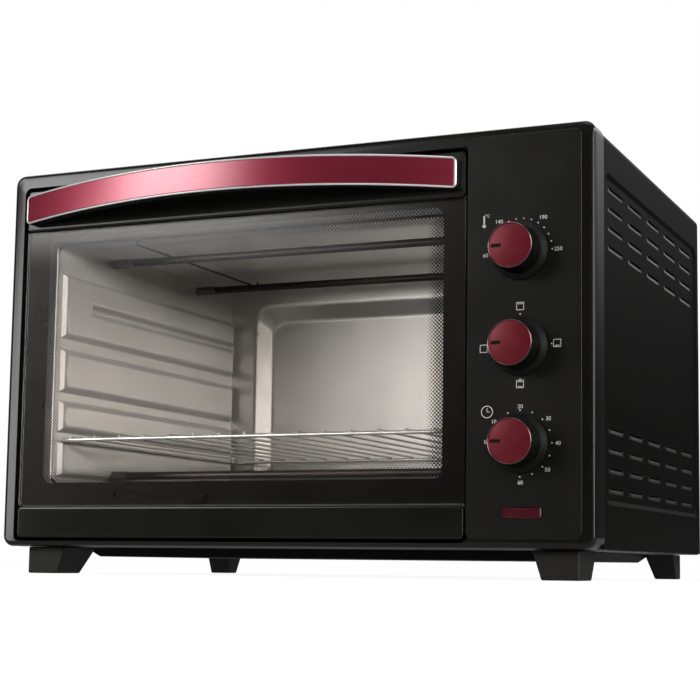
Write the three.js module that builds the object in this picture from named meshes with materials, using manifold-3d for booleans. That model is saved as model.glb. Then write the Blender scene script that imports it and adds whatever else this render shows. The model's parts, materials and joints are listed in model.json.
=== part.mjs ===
// A countertop electric oven: drop-down glass door with a bowed handle, three dials, wire rack, four feet.
// Millimetres. X runs across, Y from the face of the front frame to the back, Z up from the table.

import * as THREE from "three";
import { mergeVertices } from "three/addons/utils/BufferGeometryUtils.js";
import Module from "manifold-3d";

const wasm = await Module();
wasm.setup();

// Clearances and cuts
const gap = 0.3; // between pieces that rest on each other or fit in each other
const overrun = 3; // how far a cut reaches past what it cuts
const lap = 0.4; // how far joined shapes of one piece reach into each other
const sheet = 1.2; // steel sheet of the housing
const enamel = 1; // steel sheet of the cavity
const largestCornerShare = 0.4975; // of the shorter side of an outline

// Front frame
const frameWidth = 520;
const frameHeight = 320.3;
const frameDepth = 25.3;
const frameCorner = 9;
const frameEdge = 4; // rounding of the outer front edge
const frameWall = 3;
const frameFace = 6; // thickness behind the face
const recessDepth = 20; // walls of the door recess
const recessWall = 2.5;
const recessCorner = 6;
const borderLeft = 12;
const borderRight = 10;
const borderTop = 12.3;
const borderBottom = 4.4;

// Feet
const footHeight = 22.3;
const frontFootTop = 36.5; // across, at the top
const frontFootFloor = 29.5; // across, at the floor
const frontFootLength = 48;
const frontFootFloorLength = 34;
const rearFootTop = 27;
const rearFootFloor = 20;
const rearFootLength = 28;
const rearFootFloorLength = 18;
const footSideInset = 17; // side of the frame to the outer side of a foot
const frontFootInset = 16; // face of the frame to the front of a foot
const rearFootInset = 12; // back of the cover to the back of a foot

// Outer cover, back and base
const bodyDepth = 364;
const coverSideInset = 0.9;
const coverTopInset = 1.7;
const coverBottomRise = 0.7;
const coverCorner = 7;
const sidePanelRecess = 1.5;
const sidePanelFrontMargin = 8;
const sidePanelBackMargin = 12;
const sidePanelTopMargin = 34;
const sidePanelBottomMargin = 37;
const sidePanelCorner = 12;
const louvreLength = 45;
const louvreHeight = 4;
const louvreFrontMargin = 12;
const louvreBackMargin = 14;
const louvreEdgeMargin = 7.5; // edge of the side panel to the nearest row
const louvrePitch = 15.2;
const louvreColumns = 5;
const louvreRows = 4;
const backLip = 4; // cover past the back panel
const backVentWidth = 4;
const backVentHeight = 46;
const backVentPitch = 16;
const backVentColumns = 9;
const backVentTopMargin = 34;
const panDepth = 7.6;
const panSlope = 9;
const panSideInset = 37;
const panFrontInset = 72;
const panBackInset = 46;

// Control panel, indicator and dials
const panelWidth = 90;
const panelThickness = 3;
const panelProud = 0.8;
const panelCorner = 5;
const panelTopMargin = 6;
const panelBottomMargin = 7;
const knobInset = 42.4; // left edge of the panel to the dial axes
const knobSpacing = 72.6;
const timerRise = 78.4; // underside of the frame to the lowest dial axis
const knobReach = 26.4;
const knobBase = 44;
const knobWaist = 36.5;
const knobTip = 34.4;
const knobSkirt = 5; // length of the flared skirt
const capWidth = 32.6;
const capThickness = 1.2;
const ringWall = 0.7;
const ringProud = 0.4;
const pointerLength = 8.5;
const pointerWidth = 2.6;
const pointerInset = 1.2; // rim of the cap to the pointer
const spindleWidth = 6;
const spindleInKnob = 13;
const spindleInSwitch = 8;
const spindleHole = 10;
const lensWidth = 30;
const lensHeight = 8;
const lensProud = 1.6;
const lensCorner = 1.2;
const lensInset = 44.2; // left edge of the panel to the middle of the lens
const lensRise = 26.8; // underside of the frame to the middle of the lens
const lampHeight = 13;
const lampWidth = 26;
const lampDepth = 10;
const switchWidth = 38;
const switchDepth = 26;
const thermostatDial = 30; // diameter of the bimetal housing
const thermostatDepth = 9;
const timerCase = 50;
const timerDepth = 30;
const bellWidth = 34;
const bellDepth = 9;

// Door
const doorGap = 2.5;
const doorProud = 0.5; // rails stand this far behind the frame's face
const glassInset = 2.2;
const glassThickness = 4;
const railThickness = 5.4;
const railEdge = 2;
const railCorner = 3.5;
const glassCorner = 1.5;
const topRailHeight = 36.5;
const bottomRailHeight = 26.5;
const innerFrameInset = 2;
const innerFrameDepth = 9.6;
const windowLeftMargin = 22.5;
const windowRightMargin = 17.5;
const windowTopMargin = 45;
const windowBottomMargin = 46;
const windowCorner = 8;

// Hinges at the foot of the door
const pivotRise = 9; // lower edge of the door to the hinge axis
const pivotInset = 8; // face of the frame to the hinge axis
const hingeNotchWidth = 17;
const hingeNotchHeight = 23;
const pinWidth = 3.6;
const earThickness = 2;
const earNose = 4; // radius round the pin
const earInset = 5; // side of the door to the ear
const earFlange = 1.6;
const earFlangeWidth = 10;
const earHeight = 19;
const railSkin = 2.6; // thickness of the lower rail in front of the hinges

// Handle: a band that bows out and rises towards its middle
const handleSideMargin = 4.5; // sides of the door to the ends of the handle
const handleHeight = 24.6;
const handleRise = 7.5;
const handleBow = 29;
const handleEndReach = 8; // face of the rails to the front of the handle at its ends
const handleTopMargin = 6.5; // top of the door to the top of the handle at its ends
const handleCorner = 4;
const gripThickness = 9;
const trimDepth = 2;
const trimWidth = 1.6;
const insertThickness = 1.2;
const handlePostLength = 15;
const handleStations = 28;
const handleCornerStations = 3;
const screwWidth = 4;
const screwHead = 8;
const screwHeadHeight = 2.4;
const screwInPost = 6;

// Oven cavity, walls measured inside
const cavitySideMargin = 2.2; // window edge to the cavity wall
const cavityFloorDrop = 3.5; // lower edge of the window to the floor
const cavityCeilingRise = 8.5; // upper edge of the window to the ceiling
const cavityBackMargin = 21; // wall of the cavity to the back panel
const cavityFlange = 8;
const doorwayTrim = 1.2; // doorway edge to the window edge, above and below
const embossDepth = 12;
const embossSlope = 15;
const embossSideMargin = 27;
const embossTopMargin = 15.5;
const embossBottomMargin = 12;
const embossCorner = 16;
const padReach = 6;
const padSlope = 4;
const padWall = 1.2; // thickness of a pad's sloping sides
const padBridgeLength = 45; // joined front end of the two upper pads
const padFrontMargin = 5;
const padBackMargin = 4;
const padGrooveShares = [
  [0.046, 0.18],
  [0.223, 0.349],
  [0.381, 0.554],
  [0.596, 0.729],
  [0.736, 0.854],
]; // lower and upper edge of each pressed pad, as shares of the cavity's height

// Heaters
const heaterWidth = 7;
const heaterCollar = 13;
const heaterCollarLength = 11;
const heaterWallGap = 10; // heater axis to the ceiling
const lowerHeaterRise = 15; // heater axis to the floor
const frontHeaterInset = 86; // cavity front to the front heaters
const rearHeaterInset = 76; // cavity back to the rear heaters
const hangerWidth = 3;
const hangerThickness = 2;
const hangerInset = 57; // left wall to the hanger
const hangerFrontMargin = 30;
const hangerBackMargin = 51;
const hangerPost = 8;

// Rack and crumb tray
const rackRim = 3.4;
const rackWire = 2;
const rackPitch = 23.8;
const rackSideGap = 1.6;
const rackFrontGap = 1.2;
const rackBackGap = 4;
const trayHeight = 3.6;
const traySheet = 0.8;
const traySideGap = 3;
const trayFrontGap = 4;

// Heat shield and wiring pieces
const shieldGap = 15; // cavity wall to the shield
const shieldEndGap = 5;
const terminalWidth = 36;
const terminalDepth = 20;
const terminalHeight = 18;
const terminalBackGap = 12;
const inletHole = 11;
const inletFlange = 20;
const inletFlangeHeight = 3;
const inletWall = 3;
const inletRise = 34; // underside of the frame to the cord inlet
const inletInset = 60; // side of the frame to the cord inlet

// Places worked out from the sizes
const frameRight = frameWidth / 2;
const frameLeft = -frameRight;
const frameBottom = footHeight + gap;
const frameTop = frameBottom + frameHeight;
const panelRight = frameRight - borderRight;
const panelLeft = panelRight - panelWidth;
const recessRight = panelLeft;
const recessLeft = frameLeft + borderLeft;
const recessTop = frameTop - borderTop;
const recessBottom = frameBottom + borderBottom;
const plateFront = recessDepth + gap;
const plateBack = plateFront + sheet;
const panelFloor = panelThickness - panelProud;
const knobX = panelLeft + knobInset;
const timerZ = frameBottom + timerRise;
const functionZ = timerZ + knobSpacing;
const temperatureZ = functionZ + knobSpacing;
const lensX = panelLeft + lensInset;
const lensZ = frameBottom + lensRise;

const doorLeft = recessLeft + doorGap;
const doorRight = recessRight - doorGap;
const doorTop = recessTop - doorGap;
const doorBottom = recessBottom + doorGap;
const doorMiddle = (doorLeft + doorRight) / 2;
const glassTop = doorTop - topRailHeight;
const glassBottom = doorBottom + bottomRailHeight;
const innerFrameFront = glassInset + glassThickness + gap;
const innerFrameBack = innerFrameFront + innerFrameDepth;
const windowLeft = doorLeft + windowLeftMargin;
const windowRight = doorRight - windowRightMargin;
const windowTop = doorTop - windowTopMargin;
const windowBottom = doorBottom + windowBottomMargin;
const pivotY = pivotInset;
const pivotZ = doorBottom + pivotRise;
const handleHalf = (doorRight - doorLeft) / 2 - handleSideMargin;
const handleEndZ = doorTop - handleTopMargin - handleHeight / 2;
const handlePostReach = handleHalf - handlePostLength / 2;
const handlePosts = [doorMiddle - handlePostReach, doorMiddle + handlePostReach];
const handleFront = doorProud - handleEndReach - handleBow;

const coverFront = frameDepth + gap;
const coverSide = frameRight - coverSideInset;
const coverTop = frameTop - coverTopInset;
const coverBottom = frameBottom + coverBottomRise;
const coverInner = coverSide - sheet;
const backPanelBack = bodyDepth - backLip;
const backPanelFront = backPanelBack - sheet;
const baseTop = frameBottom + sheet;

const cavityLeft = windowLeft - cavitySideMargin;
const cavityRight = windowRight + cavitySideMargin;
const cavityMiddle = (cavityLeft + cavityRight) / 2;
const cavityFloor = windowBottom - cavityFloorDrop;
const cavityCeiling = windowTop + cavityCeilingRise;
const cavityHeight = cavityCeiling - cavityFloor;
const cavityFront = plateBack + gap;
const cavityBack = backPanelFront - cavityBackMargin;
const rackRest = cavityFloor + padGrooveShares[0][1] * cavityHeight; // top of the lowest pads
const rackZ = rackRest + gap + rackRim / 2;
const upperHeaterZ = cavityCeiling - heaterWallGap;
const lowerHeaterZ = cavityFloor + lowerHeaterRise;
const frontHeaterY = cavityFront + frontHeaterInset;
const rearHeaterY = cavityBack - rearHeaterInset;
const inletX = frameRight - inletInset;
const inletZ = frameBottom + inletRise;

// Finishes
const finish = (colour, roughness, metalness) =>
  new THREE.MeshStandardMaterial({ color: colour, roughness, metalness });
const glossBlack = finish(0x141414, 0.22, 0);
const panelBlack = finish(0x1c1c1a, 0.3, 0);
const coverBlack = finish(0x0f0f0f, 0.38, 0.2);
const footBlack = finish(0x101010, 0.6, 0);
const redAnodised = finish(0x8c1f35, 0.3, 0.7);
const chrome = finish(0xd8d2cf, 0.15, 1);
const glass = finish(0x2a2c2b, 0.05, 0);
const greyEnamel = finish(0x9a958e, 0.45, 0.5);
const zincSteel = finish(0xa9abad, 0.4, 0.9);
const wireSteel = finish(0xc9c6c0, 0.2, 1);
const heaterSteel = finish(0x3b3a38, 0.5, 0.7);
const switchPlastic = finish(0xc8c2b2, 0.6, 0);
const redLens = finish(0x8c1a2c, 0.2, 0);

// A closed geometry as a solid that can be cut and joined
function solid(geometry) {
  const bare = new THREE.BufferGeometry();
  bare.setAttribute("position", geometry.getAttribute("position"));
  bare.setIndex(geometry.index);
  const merged = mergeVertices(bare);
  const mesh = new wasm.Mesh({
    numProp: 3,
    vertProperties: merged.getAttribute("position").array,
    triVerts: new Uint32Array(merged.index.array),
  });
  return new wasm.Manifold(mesh);
}

// A box between two values on each axis
function block(x0, x1, y0, y1, z0, z1) {
  const box = new THREE.BoxGeometry(x1 - x0, y1 - y0, z1 - z0);
  return solid(box.translate((x0 + x1) / 2, (y0 + y1) / 2, (z0 + z1) / 2));
}

// An outline with rounded corners, in any plane
function rounded(u0, u1, v0, v1, radius) {
  const r = Math.min(radius, largestCornerShare * Math.min(u1 - u0, v1 - v0));
  const shape = new THREE.Shape();
  shape.absarc(u1 - r, v1 - r, r, 0, Math.PI / 2);
  shape.absarc(u0 + r, v1 - r, r, Math.PI / 2, Math.PI);
  shape.absarc(u0 + r, v0 + r, r, Math.PI, 1.5 * Math.PI);
  shape.absarc(u1 - r, v0 + r, r, 1.5 * Math.PI, 2 * Math.PI);
  return shape;
}

// An outline in X and Z made solid from y0 to y1, with an optional rounded edge at both ends
function slab(shape, y0, y1, edge = 0, curveSegments = 4) {
  const geometry = new THREE.ExtrudeGeometry(shape, {
    depth: y1 - y0 - 2 * edge,
    curveSegments,
    bevelEnabled: edge > 0,
    bevelThickness: edge,
    bevelSize: edge,
    bevelOffset: -edge,
    bevelSegments: 2,
  });
  return solid(geometry.rotateX(Math.PI / 2).translate(0, y1 - edge, 0));
}

// An outline in Y and Z made solid from x0 to x1
function slabAcross(shape, x0, x1, curveSegments = 4) {
  const geometry = new THREE.ExtrudeGeometry(shape, {
    depth: x1 - x0,
    curveSegments,
    bevelEnabled: false,
  });
  const turn = new THREE.Matrix4().makeBasis(
    new THREE.Vector3(0, 1, 0),
    new THREE.Vector3(0, 0, 1),
    new THREE.Vector3(1, 0, 0),
  );
  return solid(geometry.applyMatrix4(turn).translate(x0, 0, 0));
}

// Round bars along Y and along X
function barY(x, z, width, y0, y1, sides = 16) {
  const bar = new THREE.CylinderGeometry(width / 2, width / 2, y1 - y0, sides);
  return solid(bar.translate(x, (y0 + y1) / 2, z));
}

function barX(y, z, width, x0, x1, sides = 12) {
  const bar = new THREE.CylinderGeometry(width / 2, width / 2, x1 - x0, sides);
  return solid(bar.rotateZ(Math.PI / 2).translate((x0 + x1) / 2, y, z));
}

// A profile of radius and Y turned about the Y axis, from the axis round to the axis
function turned(profile, sides = 28) {
  const points = profile.map(([radius, y]) => new THREE.Vector2(radius, y));
  return solid(new THREE.LatheGeometry(points, sides));
}

// A solid through loops of points that all have the same count, closed at both ends
function loft(loops) {
  const count = loops[0].length;
  const points = loops.flat();
  const faces = [];
  for (let i = 0; i + 1 < loops.length; i++) {
    for (let j = 0; j < count; j++) {
      const a = i * count + j;
      const b = i * count + ((j + 1) % count);
      faces.push(a, b, b + count, a, b + count, a + count);
    }
  }
  const last = (loops.length - 1) * count;
  for (let j = 1; j + 1 < count; j++) {
    faces.push(0, j + 1, j, last, last + j, last + j + 1);
  }
  const geometry = new THREE.BufferGeometry().setFromPoints(points);
  geometry.setIndex(faces);
  const made = solid(geometry);
  if (made.volume() > 0) return made;
  geometry.setIndex(faces.reverse());
  return solid(geometry);
}

// Loops for tapered blocks: a rectangle at one height, or at one place across
const loopAtZ = (z, x0, x1, y0, y1) => [
  new THREE.Vector3(x0, y0, z),
  new THREE.Vector3(x1, y0, z),
  new THREE.Vector3(x1, y1, z),
  new THREE.Vector3(x0, y1, z),
];
const loopAtX = (x, y0, y1, z0, z1) => [
  new THREE.Vector3(x, y0, z0),
  new THREE.Vector3(x, y1, z0),
  new THREE.Vector3(x, y1, z1),
  new THREE.Vector3(x, y0, z1),
];
const loopAtY = (y, shape, curveSegments) =>
  shape.getPoints(curveSegments).map((point) => new THREE.Vector3(point.x, y, point.y));

const oven = new THREE.Group();

// Adds one named piece to a group
function addPiece(name, made, material, parent = oven) {
  const { vertProperties, triVerts } = made.getMesh();
  const geometry = new THREE.BufferGeometry();
  geometry.setAttribute("position", new THREE.BufferAttribute(vertProperties, 3));
  geometry.setIndex(new THREE.BufferAttribute(triVerts, 1));
  const faceted = geometry.toNonIndexed();
  faceted.computeVertexNormals();
  const mesh = new THREE.Mesh(faceted, material);
  mesh.name = name;
  parent.add(mesh);
}

// Places of the control openings, cut alike through the panel, the frame and the front plate
function controlHoles(y0, y1) {
  const lens = rounded(
    lensX - lensWidth / 2 - gap,
    lensX + lensWidth / 2 + gap,
    lensZ - lensHeight / 2 - gap,
    lensZ + lensHeight / 2 + gap,
    lensCorner,
  );
  let holes = slab(lens, y0, y1);
  for (const z of [timerZ, functionZ, temperatureZ]) {
    holes = holes.add(barY(knobX, z, spindleHole, y0, y1));
  }
  return holes;
}

function makeFrontFrame() {
  const outline = rounded(frameLeft, frameRight, frameBottom, frameTop, frameCorner);
  const behind = block(
    frameLeft - overrun,
    frameRight + overrun,
    frameDepth,
    frameDepth + frameEdge + overrun,
    frameBottom - overrun,
    frameTop + overrun,
  );
  const inside = rounded(
    frameLeft + frameWall,
    frameRight - frameWall,
    frameBottom + frameWall,
    frameTop - frameWall,
    frameCorner - frameWall,
  );
  const recessOuter = rounded(
    recessLeft - recessWall,
    recessRight + recessWall,
    recessBottom - recessWall,
    recessTop + recessWall,
    recessCorner + recessWall,
  );
  const recess = rounded(recessLeft, recessRight, recessBottom, recessTop, recessCorner);
  const pocket = rounded(
    panelLeft - recessCorner,
    panelRight + gap,
    frameBottom + panelBottomMargin - gap,
    frameTop - panelTopMargin + gap,
    panelCorner + gap,
  );
  const hollow = slab(inside, frameFace, frameDepth + overrun).subtract(
    slab(recessOuter, frameFace - overrun, recessDepth),
  );
  const pocketCut = slab(pocket, -overrun, panelFloor + gap).subtract(
    block(
      recessLeft,
      recessRight,
      -2 * overrun,
      frameFace,
      recessTop,
      frameTop + overrun,
    ),
  );
  return slab(outline, 0, frameDepth + frameEdge, frameEdge)
    .subtract(behind)
    .subtract(hollow)
    .subtract(slab(recess, -overrun, frameDepth + overrun))
    .subtract(pocketCut)
    .subtract(controlHoles(-overrun, frameDepth));
}

function makeFrontPlate() {
  const inset = frameWall + gap;
  const outline = rounded(
    frameLeft + inset,
    frameRight - inset,
    frameBottom + inset,
    frameTop - inset,
    frameCorner - frameWall,
  );
  const doorway = rounded(
    cavityLeft,
    cavityRight,
    windowBottom + doorwayTrim,
    windowTop - doorwayTrim,
    windowCorner,
  );
  return slab(outline, plateFront, plateBack)
    .subtract(slab(doorway, plateFront - overrun, plateBack + overrun))
    .subtract(controlHoles(plateFront - overrun, plateBack + overrun));
}

function makeControlPanel() {
  const outline = rounded(
    panelLeft,
    panelRight,
    frameBottom + panelBottomMargin,
    frameTop - panelTopMargin,
    panelCorner,
  );
  return slab(outline, -panelProud, panelFloor, panelProud / 2).subtract(
    controlHoles(-panelProud - overrun, panelFloor + overrun),
  );
}

// The recessed field of one side of the cover, in Y and Z, grown by a margin
function sideField(grow) {
  return rounded(
    coverFront + sidePanelFrontMargin - grow,
    bodyDepth - sidePanelBackMargin + grow,
    coverBottom + sidePanelBottomMargin - grow,
    coverTop - sidePanelTopMargin + grow,
    sidePanelCorner + grow,
  );
}

// All louvre openings of one side, cut from x0 to x1
function louvres(x0, x1) {
  const first = coverFront + sidePanelFrontMargin + louvreFrontMargin;
  const last = bodyDepth - sidePanelBackMargin - louvreBackMargin - louvreLength;
  const low = coverBottom + sidePanelBottomMargin + louvreEdgeMargin;
  const high = coverTop - sidePanelTopMargin - louvreEdgeMargin;
  const slots = [];
  for (let column = 0; column < louvreColumns; column++) {
    const y = first + ((last - first) * column) / (louvreColumns - 1);
    for (let row = 0; row < louvreRows; row++) {
      for (const z of [low + row * louvrePitch, high - row * louvrePitch]) {
        slots.push(block(x0, x1, y, y + louvreLength, z - louvreHeight / 2, z + louvreHeight / 2));
      }
    }
  }
  return wasm.Manifold.union(slots);
}

function makeOuterCover() {
  const reachDown = coverCorner + overrun;
  const outer = rounded(-coverSide, coverSide, coverBottom - reachDown, coverTop, coverCorner);
  const inner = rounded(
    -coverInner,
    coverInner,
    coverBottom - reachDown - overrun,
    coverTop - sheet,
    coverCorner - sheet,
  );
  const below = block(
    -coverSide - overrun,
    coverSide + overrun,
    coverFront - overrun,
    bodyDepth + overrun,
    coverBottom - reachDown - overrun,
    coverBottom,
  );
  const fieldFace = coverSide - sidePanelRecess;
  const inside = fieldFace - sheet - overrun;
  return slab(outer, coverFront, bodyDepth)
    .subtract(slab(inner, coverFront - overrun, bodyDepth + overrun))
    .subtract(below)
    .add(slabAcross(sideField(sheet), -coverInner - lap, -fieldFace + sheet))
    .add(slabAcross(sideField(sheet), fieldFace - sheet, coverInner + lap))
    .subtract(slabAcross(sideField(0), fieldFace, coverSide + overrun))
    .subtract(slabAcross(sideField(0), -coverSide - overrun, -fieldFace))
    .subtract(louvres(inside, coverSide + overrun))
    .subtract(louvres(-coverSide - overrun, -inside));
}

function makeBackPanel() {
  const side = coverInner - sidePanelRecess - gap;
  const outline = rounded(-side, side, baseTop + gap, coverTop - sheet - gap, coverCorner - sheet);
  const slots = [];
  const top = coverTop - backVentTopMargin;
  for (const middle of [-side / 2, side / 2]) {
    for (let column = 0; column < backVentColumns; column++) {
      const x = middle + (column - (backVentColumns - 1) / 2) * backVentPitch;
      slots.push(
        block(
          x - backVentWidth / 2,
          x + backVentWidth / 2,
          backPanelFront - overrun,
          backPanelBack + overrun,
          top - backVentHeight,
          top,
        ),
      );
    }
  }
  const inlet = barY(inletX, inletZ, inletHole + 2 * gap, backPanelFront - overrun, bodyDepth);
  return slab(outline, backPanelFront, backPanelBack)
    .subtract(wasm.Manifold.union(slots))
    .subtract(inlet);
}

function makeBasePlate() {
  const side = coverInner - gap;
  return block(-side, side, coverFront, backPanelBack, frameBottom, baseTop);
}

function makeBasePan() {
  const top = footHeight;
  const floor = footHeight - panDepth;
  const side = frameRight - panSideInset;
  const front = panFrontInset;
  const back = bodyDepth - panBackInset;
  const outer = loft([
    loopAtZ(top, -side, side, front, back),
    loopAtZ(floor, panSlope - side, side - panSlope, front + panSlope, back - panSlope),
  ]);
  const inner = loft([
    loopAtZ(top + sheet, sheet - side, side - sheet, front + sheet, back - sheet),
    loopAtZ(
      floor + sheet,
      panSlope + sheet - side,
      side - panSlope - sheet,
      front + panSlope + sheet,
      back - panSlope - sheet,
    ),
  ]);
  return outer.subtract(inner);
}

// A foot that tapers inwards and to the middle of the oven; side is -1 on the left and 1 on the right
function makeFoot(side, faceY, towardsMiddle, top, floor, length, floorLength) {
  const outer = side * (frameRight - footSideInset);
  const span = (width) => [outer, outer - side * width].sort((a, b) => a - b);
  const run = (size) => [faceY, faceY + towardsMiddle * size].sort((a, b) => a - b);
  return loft([
    loopAtZ(0, ...span(floor), ...run(floorLength)),
    loopAtZ(footHeight, ...span(top), ...run(length)),
  ]);
}

// One dial: knob body, red cap with its pointer slot, bright ring, and the spindle it turns
function addKnob(name, z) {
  const dial = new THREE.Group();
  dial.position.set(knobX, 0, z);
  oven.add(dial);
  const base = -panelProud - gap;
  const tip = -knobReach;
  const seat = tip + capThickness;
  const bore = base - spindleInKnob;
  const body = turned([
    [0, seat],
    [knobTip / 2, seat],
    [knobWaist / 2, base - knobSkirt],
    [knobBase / 2, base],
    [spindleWidth / 2 + gap, base],
    [spindleWidth / 2 + gap, bore],
    [0, bore],
  ]);
  const ringInner = capWidth / 2 + gap;
  const ring = turned([
    [ringInner, tip - ringProud],
    [ringInner + ringWall, tip - ringProud],
    [ringInner + ringWall, seat - gap],
    [ringInner, seat - gap],
    [ringInner, tip - ringProud],
  ]);
  const pointerEnd = capWidth / 2 - pointerInset;
  const slot = block(
    -pointerEnd,
    pointerLength - pointerEnd,
    tip - overrun,
    seat + overrun,
    -pointerWidth / 2,
    pointerWidth / 2,
  );
  const cap = barY(0, 0, capWidth, tip, seat - gap, 28).subtract(slot);
  const spindle = barY(0, 0, spindleWidth, bore + gap, plateBack + gap + spindleInSwitch);
  addPiece(name + "_knob", body, footBlack, dial);
  addPiece(name + "_knob_cap", cap, redAnodised, dial);
  addPiece(name + "_knob_ring", ring, chrome, dial);
  addPiece(name + "_spindle", spindle, zincSteel, dial);
}

// The bore that a switch has for its spindle
function spindleBore(z) {
  const start = plateBack + gap;
  return barY(knobX, z, spindleWidth + 2 * gap, start - overrun, start + spindleInSwitch + gap);
}

function makeThermostat() {
  const front = plateBack + gap;
  const half = switchWidth / 2;
  const back = front + switchDepth;
  const body = block(
    knobX - half,
    knobX + half,
    front,
    back,
    temperatureZ - half,
    temperatureZ + half,
  );
  return body
    .add(barY(knobX, temperatureZ, thermostatDial, back - lap, back + thermostatDepth))
    .subtract(spindleBore(temperatureZ));
}

function makeFunctionSwitch() {
  const front = plateBack + gap;
  const outline = rounded(
    knobX - switchWidth / 2,
    knobX + switchWidth / 2,
    functionZ - switchWidth / 2,
    functionZ + switchWidth / 2,
    panelCorner,
  );
  return slab(outline, front, front + switchDepth).subtract(spindleBore(functionZ));
}

function makeTimer() {
  const front = plateBack + gap;
  return barY(knobX, timerZ, timerCase, front, front + timerDepth).subtract(spindleBore(timerZ));
}

function makeTimerBell() {
  const start = plateBack + gap + timerDepth + gap;
  const bell = barY(knobX, timerZ, bellWidth, start, start + bellDepth);
  const hollow = barY(
    knobX,
    timerZ,
    bellWidth - 2 * sheet,
    start + sheet,
    start + bellDepth + overrun,
  );
  return bell.subtract(hollow);
}

function makeIndicatorLens() {
  const outline = rounded(
    lensX - lensWidth / 2,
    lensX + lensWidth / 2,
    lensZ - lensHeight / 2,
    lensZ + lensHeight / 2,
    lensCorner,
  );
  return slab(outline, -panelProud - lensProud, frameFace, lensCorner / 2, 2);
}

function makeIndicatorLamp() {
  return block(
    lensX - lampWidth / 2,
    lensX + lampWidth / 2,
    frameFace + gap,
    frameFace + gap + lampDepth,
    lensZ - lampHeight / 2,
    lensZ + lampHeight / 2,
  );
}

// The rails above and below the glass; the lower one is thin where the hinges are
function makeRail(z0, z1) {
  const outline = rounded(doorLeft, doorRight, z0, z1, railCorner);
  return slab(outline, doorProud, doorProud + railThickness, railEdge);
}

// The spaces for the hinges in the lower corners of the door, grown by a wall where one goes round them
function hingeNotches(y0, y1, wall = 0) {
  const width = hingeNotchWidth + wall;
  const low = doorBottom - overrun;
  const high = doorBottom + hingeNotchHeight + wall;
  const left = block(doorLeft - overrun, doorLeft + width, y0, y1, low, high);
  const right = block(doorRight - width, doorRight + overrun, y0, y1, low, high);
  return left.add(right);
}

function makeBottomRail() {
  const skinBack = doorProud + railSkin;
  return makeRail(doorBottom, glassBottom - gap).subtract(
    hingeNotches(skinBack, skinBack + railThickness + overrun),
  );
}

function makeDoorGlass() {
  const outline = rounded(doorLeft, doorRight, glassBottom, glassTop, glassCorner);
  return slab(outline, glassInset, glassInset + glassThickness);
}

function makeDoorInnerFrame() {
  const outline = rounded(
    doorLeft + innerFrameInset,
    doorRight - innerFrameInset,
    doorBottom + innerFrameInset,
    doorTop - innerFrameInset,
    recessCorner,
  );
  const channelOuter = rounded(
    doorLeft + innerFrameInset + sheet,
    doorRight - innerFrameInset - sheet,
    doorBottom + innerFrameInset + sheet,
    doorTop - innerFrameInset - sheet,
    recessCorner - sheet,
  );
  const window = rounded(windowLeft, windowRight, windowBottom, windowTop, windowCorner);
  const windowWall = rounded(
    windowLeft - sheet,
    windowRight + sheet,
    windowBottom - sheet,
    windowTop + sheet,
    windowCorner + sheet,
  );
  const front = innerFrameFront - overrun;
  const back = innerFrameBack + overrun;
  const channel = slab(channelOuter, front, innerFrameBack - sheet)
    .subtract(slab(windowWall, front - overrun, back))
    .subtract(hingeNotches(front, back, sheet));
  return slab(outline, innerFrameFront, innerFrameBack)
    .subtract(channel)
    .subtract(slab(window, front, back))
    .subtract(hingeNotches(front, back))
    .subtract(handleScrewHoles(front, back));
}

// Hinge ears on the front plate, lugs and pins on the door
function earOutline(nose, rootY, low, high) {
  const shape = new THREE.Shape();
  shape.moveTo(rootY, low);
  shape.lineTo(rootY, high);
  shape.lineTo(pivotY, pivotZ + nose);
  shape.absarc(pivotY, pivotZ, nose, Math.PI / 2, 1.5 * Math.PI);
  return shape;
}

function makeHingeBracket(side) {
  const edge = side < 0 ? doorLeft : doorRight;
  const earOuter = edge - side * earInset;
  const [x0, x1] = [earOuter, earOuter - side * earThickness].sort((a, b) => a - b);
  const [f0, f1] = [earOuter, earOuter - side * earFlangeWidth].sort((a, b) => a - b);
  const low = pivotZ - earNose;
  const root = plateFront - gap;
  const ear = slabAcross(earOutline(earNose, root, low, low + earHeight), x0, x1);
  const flange = block(f0, f1, root - earFlange, root, low, low + earHeight);
  const hole = barX(pivotY, pivotZ, pinWidth + 2 * gap, x0 - overrun, x1 + overrun);
  return ear.add(flange).subtract(hole);
}

// The lug stands against the side of the notch; its outline is a bar with a round foot at the pin
function makeHingeLug(side) {
  const edge = side < 0 ? doorLeft : doorRight;
  const outer = edge - side * (hingeNotchWidth - gap);
  const [x0, x1] = [outer, outer + side * earThickness].sort((a, b) => a - b);
  const shape = new THREE.Shape();
  const top = doorBottom + hingeNotchHeight - gap;
  const back = innerFrameBack;
  shape.moveTo(back, top);
  shape.lineTo(innerFrameFront, top);
  shape.lineTo(pivotY - earNose, pivotZ);
  shape.absarc(pivotY, pivotZ, earNose, Math.PI, 2 * Math.PI);
  shape.lineTo(back, pivotZ + earNose);
  const hole = barX(pivotY, pivotZ, pinWidth + 2 * gap, x0 - overrun, x1 + overrun);
  return slabAcross(shape, x0, x1).subtract(hole);
}

function makeHingePin(side) {
  const edge = side < 0 ? doorLeft : doorRight;
  const ends = [
    edge - side * (earInset - earThickness / 2),
    edge - side * (hingeNotchWidth - gap / 2),
  ].sort((a, b) => a - b);
  return barX(pivotY, pivotZ, pinWidth, ends[0], ends[1]);
}

// Holes for the screws that hold the handle's posts
function handleScrewHoles(y0, y1) {
  const width = screwWidth + 2 * gap;
  const [left, right] = handlePosts.map((x) => barY(x, handleEndZ, width, y0, y1));
  return left.add(right);
}

// Half the height of a band with rounded corners, at a distance x from its middle
function bandHalfHeight(x, halfLength, halfHeight, corner) {
  const into = Math.max(0, Math.abs(x) - (halfLength - corner));
  return halfHeight - corner + Math.sqrt(Math.max(0, corner * corner - into * into));
}

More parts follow.
